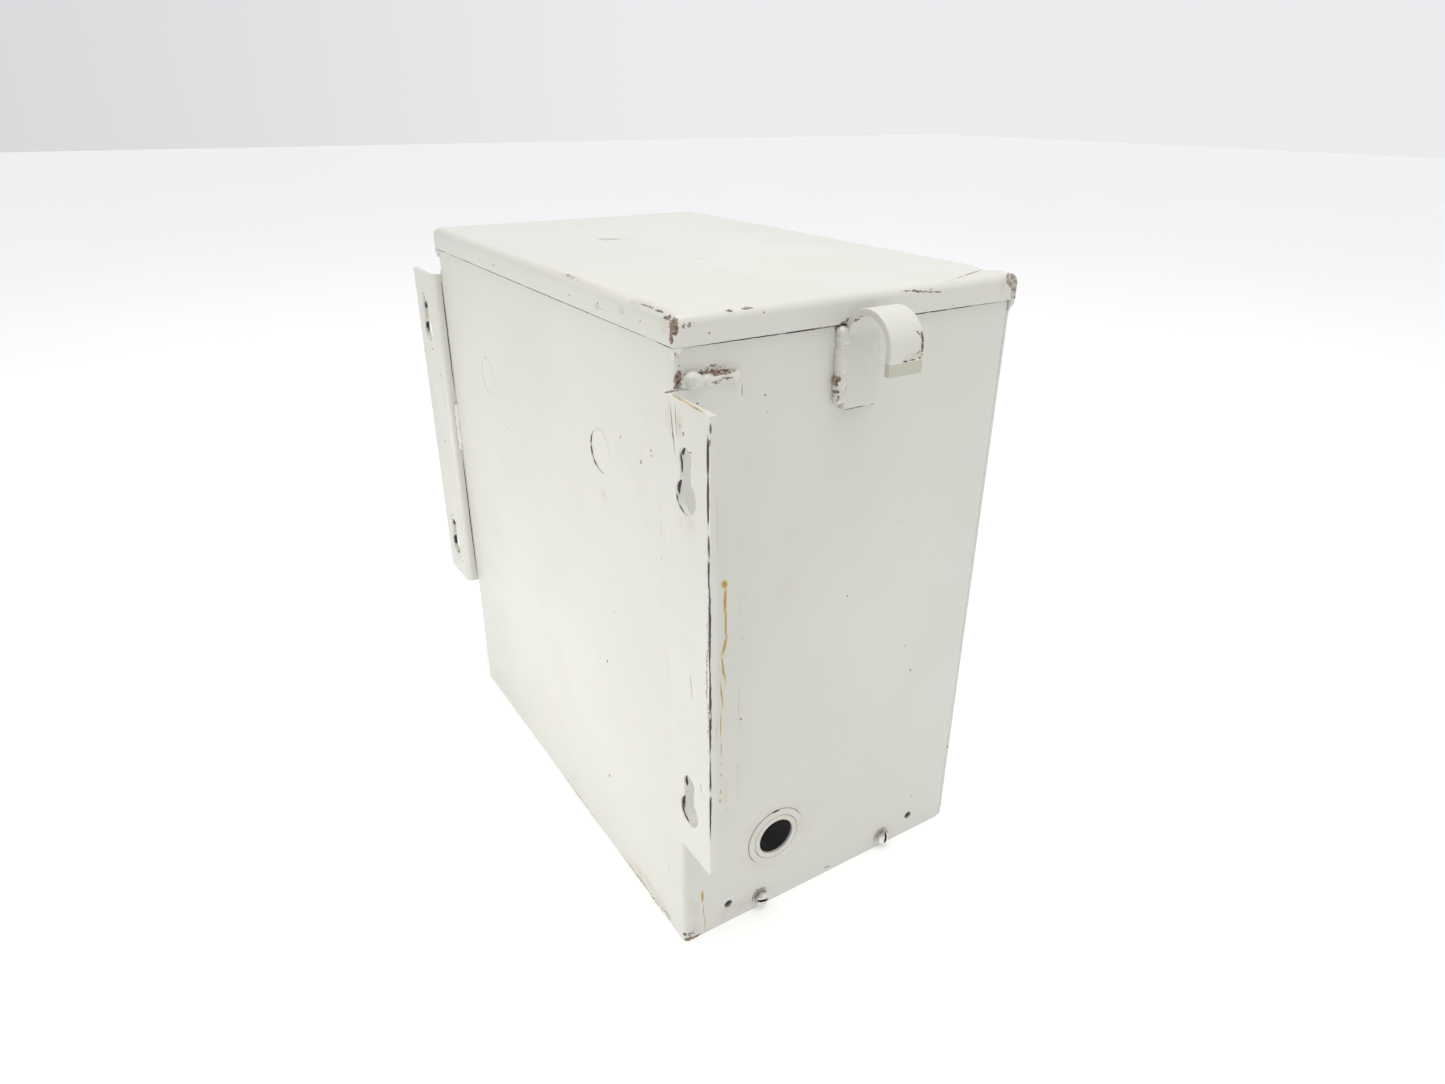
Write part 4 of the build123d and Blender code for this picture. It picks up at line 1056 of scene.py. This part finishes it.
def disc_height(radius, angle, sunk, open_rim, shift):
    """How far a point of a painted disc stands out from the back, in millimetres."""
    facing = math.cos(angle + DISC_TURN)
    sunk_side = clamped(facing * 1.6 + 0.1)
    disc = 0.25 - sunk * (0.3 + 0.7 * facing * radius / DISC_R) * (0.4 + 0.6 * sunk_side)
    rim = 0.02 * (1 - sunk_side) - open_rim * sunk_side
    share = clamped((radius - RIM_START) / RIM_WIDTH)
    share = share * share * (3 - 2 * share)
    if radius > TORN_FROM and sunk_side > 0.35:
        share = 1.0
    height = disc * (1 - share) + rim * share
    across, up = radius * math.cos(angle), radius * math.sin(angle)
    lump = math.exp(-((across - LUMP[0]) ** 2 + (up - LUMP[1]) ** 2) / LUMP_SPREAD)
    height += LUMP_HIGH * lump * (1 - share * 0.8)
    return height + 0.10 * noise.noise(Vector((across, up, 0)) * 0.35 + shift) * (1 - share)


def disc_surface(x, sunk, open_rim, seed):
    """The outer face of a painted disc, looking backwards, as a bmesh."""
    bm = bmesh.new()
    shift = Vector((seed * 4.1, seed * 2.3, 0))
    hub = bm.verts.new(Vector((x, BACK_Y + 0.2 - sunk * 0.3, DISC_Z)) * MM)
    rows = []
    for radius in DISC_RINGS:
        row = []
        for index in range(DISC_STEPS):
            angle = math.tau * index / DISC_STEPS
            height = disc_height(radius, angle, sunk, open_rim, shift)
            across, up = radius * math.cos(angle), radius * math.sin(angle)
            row.append(bm.verts.new(Vector((x + across, BACK_Y + height, DISC_Z + up)) * MM))
        rows.append(row)
    for index in range(DISC_STEPS):
        after = (index + 1) % DISC_STEPS
        bm.faces.new((hub, rows[0][index], rows[0][after]))
        for inner, outer in zip(rows, rows[1:]):
            bm.faces.new((inner[index], outer[index], outer[after], inner[after]))
    bmesh.ops.recalc_face_normals(bm, faces=bm.faces)
    if sum(face.normal.y for face in bm.faces) < 0:
        bmesh.ops.reverse_faces(bm, faces=bm.faces)
    return bm


def painted_disc(name, x, sunk, open_rim, seed):
    """A knockout disc bridged by paint, sunk along the edge nearer the box's right side.

    sunk is how deep that edge lies, and open_rim how far the paint there has broken away.
    """
    def thicken(carrier):
        solid = carrier.modifiers.new("sheet", "SOLIDIFY")
        solid.thickness = DISC_SHEET
        solid.offset = -1.0

    mesh = finished(mesh_from(disc_surface(x, sunk, open_rim, seed), name), thicken)
    smooth_up_to(mesh, 40)
    place_piece(name, mesh, BACK, "box", "grey_enamel", "back_knockout_discs")


FRONT_BEND_R = 3.0
FRONT_EDGE_R = 0.7
FRONT_EDGE_INSET = 0.05  # below the wall's own faces, which stay on show
FRONT_EDGE_OVERLAP = 0.5  # into the sheet, behind its bend
FRONT_EDGE_ENDS = (0.8, LIP_Z - 0.6)


def arc(centre, radius, start, turn, steps):
    """Points round an arc. start and turn are in degrees."""
    angles = [math.radians(start + turn * index / steps) for index in range(steps + 1)]
    return [centre + Vector((math.cos(angle), math.sin(angle))) * radius for angle in angles]


def front_edge(name, flip, material):
    """The front edge of a side wall, pressed tighter than the sheet's bend."""
    inset = FRONT_EDGE_INSET + FRONT_EDGE_R
    corner = Vector((SIDE_X + inset, FRONT_Y + inset))
    bend = Vector((SIDE_X + FRONT_BEND_R, FRONT_Y + FRONT_BEND_R))
    outline = arc(corner, FRONT_EDGE_R, 180, 90, 6)
    outline += arc(bend, FRONT_BEND_R - FRONT_EDGE_OVERLAP, 270, -90, 8)
    bm = bmesh.new()
    rows = []
    for height in FRONT_EDGE_ENDS:
        rows.append([bm.verts.new(Vector((x * flip, y, height)) * MM) for x, y in outline])
    for index in range(len(outline)):
        after = (index + 1) % len(outline)
        bm.faces.new((rows[0][index], rows[0][after], rows[1][after], rows[1][index]))
    for row in rows:
        bm.faces.new(row)
    bmesh.ops.recalc_face_normals(bm, faces=bm.faces)
    mesh = mesh_from(bm, name)
    smooth_up_to(mesh, 30)
    place_piece(name, mesh, material, "box", "grey_enamel")


dented_cap()
angle_welds()
hook_welds()
corner_welds()
front_edge("left_front_edge", 1, LEFT_PANEL)
front_edge("right_front_edge", -1, RIGHT_PANEL)
painted_disc("left_back_disc", -DISC_X, sunk=0.75, open_rim=1.3, seed=2)
painted_disc("right_back_disc", DISC_X, sunk=0.35, open_rim=0.2, seed=5)


# ---- floor, light and camera ----------------------------------------------------------------
FLOOR_HALF = 9.0
FLOOR_DARK = (0.90, 0.90, 0.90, 1)
FLOOR_LIGHT = (0.915, 0.915, 0.915, 1)
FLOOR_GLOW = (1.0, 0.995, 0.985, 1)
ROOM_COLOUR = (0.975, 0.980, 1.0, 1)
ROOM_SPAN = (-0.5, 0.7)  # Y of the direction, before and behind the box
ROOM_STRENGTH = (0.86, 0.55)  # at the two ends of that span
AIM = Vector((0, 0, 0.17))  # the middle of the box
LENS = 23.17
SENSOR = 36.0
EYE = (-0.4743, 0.2763, 0.4202)
LOOK = Vector((0.7597, -0.4859, -0.4323))
LOOK_RIGHT = Vector((-0.5365, -0.8439, 0.0057))


def stage():
    """A plain pale floor that runs out of sight."""
    half = FLOOR_HALF
    mesh = bpy.data.meshes.new("floor")
    corners = [(-half, -half, 0), (half, -half, 0), (half, half, 0), (-half, half, 0)]
    mesh.from_pydata(corners, [], [(0, 1, 2, 3)])
    floor = bpy.data.objects.new("floor", mesh)
    bpy.context.scene.collection.objects.link(floor)
    s = Shader("pale_floor")
    tone = s.step(s.noise(3.0, 3.0)["Fac"], 0.3, 0.7)
    s.set(Base_Color=s.mix(tone, FLOOR_DARK, FLOOR_LIGHT), Roughness=0.55)
    # The floor glows faintly: painted light that brightens the box from below and washes out its shadow
    # on the floor.
    s.set(Emission_Color=FLOOR_GLOW, Emission_Strength=0.22)
    mesh.materials.append(s.material)


def softbox(name, location, size, energy, colour):
    """A square area light aimed at the middle of the box."""
    light = bpy.data.lights.new(name, "AREA")
    light.shape = "SQUARE"
    light.size = size
    light.energy = energy
    light.color = colour
    lamp = bpy.data.objects.new(name, light)
    lamp.location = location
    lamp.rotation_euler = (AIM - lamp.location).to_track_quat("-Z", "Y").to_euler()
    bpy.context.scene.collection.objects.link(lamp)


def room():
    """Pale surroundings, brighter before the box than behind it."""
    world = bpy.data.worlds.new("room")
    world.use_nodes = True
    tree = world.node_tree
    background = tree.nodes["Background"]
    background.inputs["Color"].default_value = ROOM_COLOUR
    parts = tree.nodes.new("ShaderNodeSeparateXYZ")
    tree.links.new(tree.nodes.new("ShaderNodeTexCoord").outputs["Generated"], parts.inputs[0])
    strength = tree.nodes.new("ShaderNodeMapRange")
    for socket, value in zip(strength.inputs[1:], ROOM_SPAN + ROOM_STRENGTH):
        socket.default_value = value
    tree.links.new(parts.outputs["Y"], strength.inputs[0])
    tree.links.new(strength.outputs[0], background.inputs["Strength"])
    bpy.context.scene.world = world


def lights():
    """One broad light overhead, a faint one low behind the box, and the room."""
    room()
    softbox("overhead", (-0.2, 0.05, 1.9), size=1.2, energy=18.0, colour=(1.0, 0.99, 0.97))
    softbox("low_rear", (-0.03, 0.46, 0.02), size=0.22, energy=0.90, colour=(1.0, 0.99, 0.96))
    bpy.context.scene.view_settings.view_transform = "Standard"


def camera():
    """The camera stands behind and to the left of the box, above it."""
    lens = bpy.data.cameras.new("camera")
    lens.lens = LENS
    lens.sensor_width = SENSOR
    lens.clip_start = 0.01
    eye = bpy.data.objects.new("camera", lens)
    forward = LOOK.normalized()
    right = (LOOK_RIGHT - forward * LOOK_RIGHT.dot(forward)).normalized()
    up = right.cross(forward)
    turn = Matrix((right, up, -forward)).transposed()
    eye.matrix_world = Matrix.Translation(EYE) @ turn.to_4x4()
    bpy.context.scene.collection.objects.link(eye)
    bpy.context.scene.camera = eye


stage()
lights()
camera()
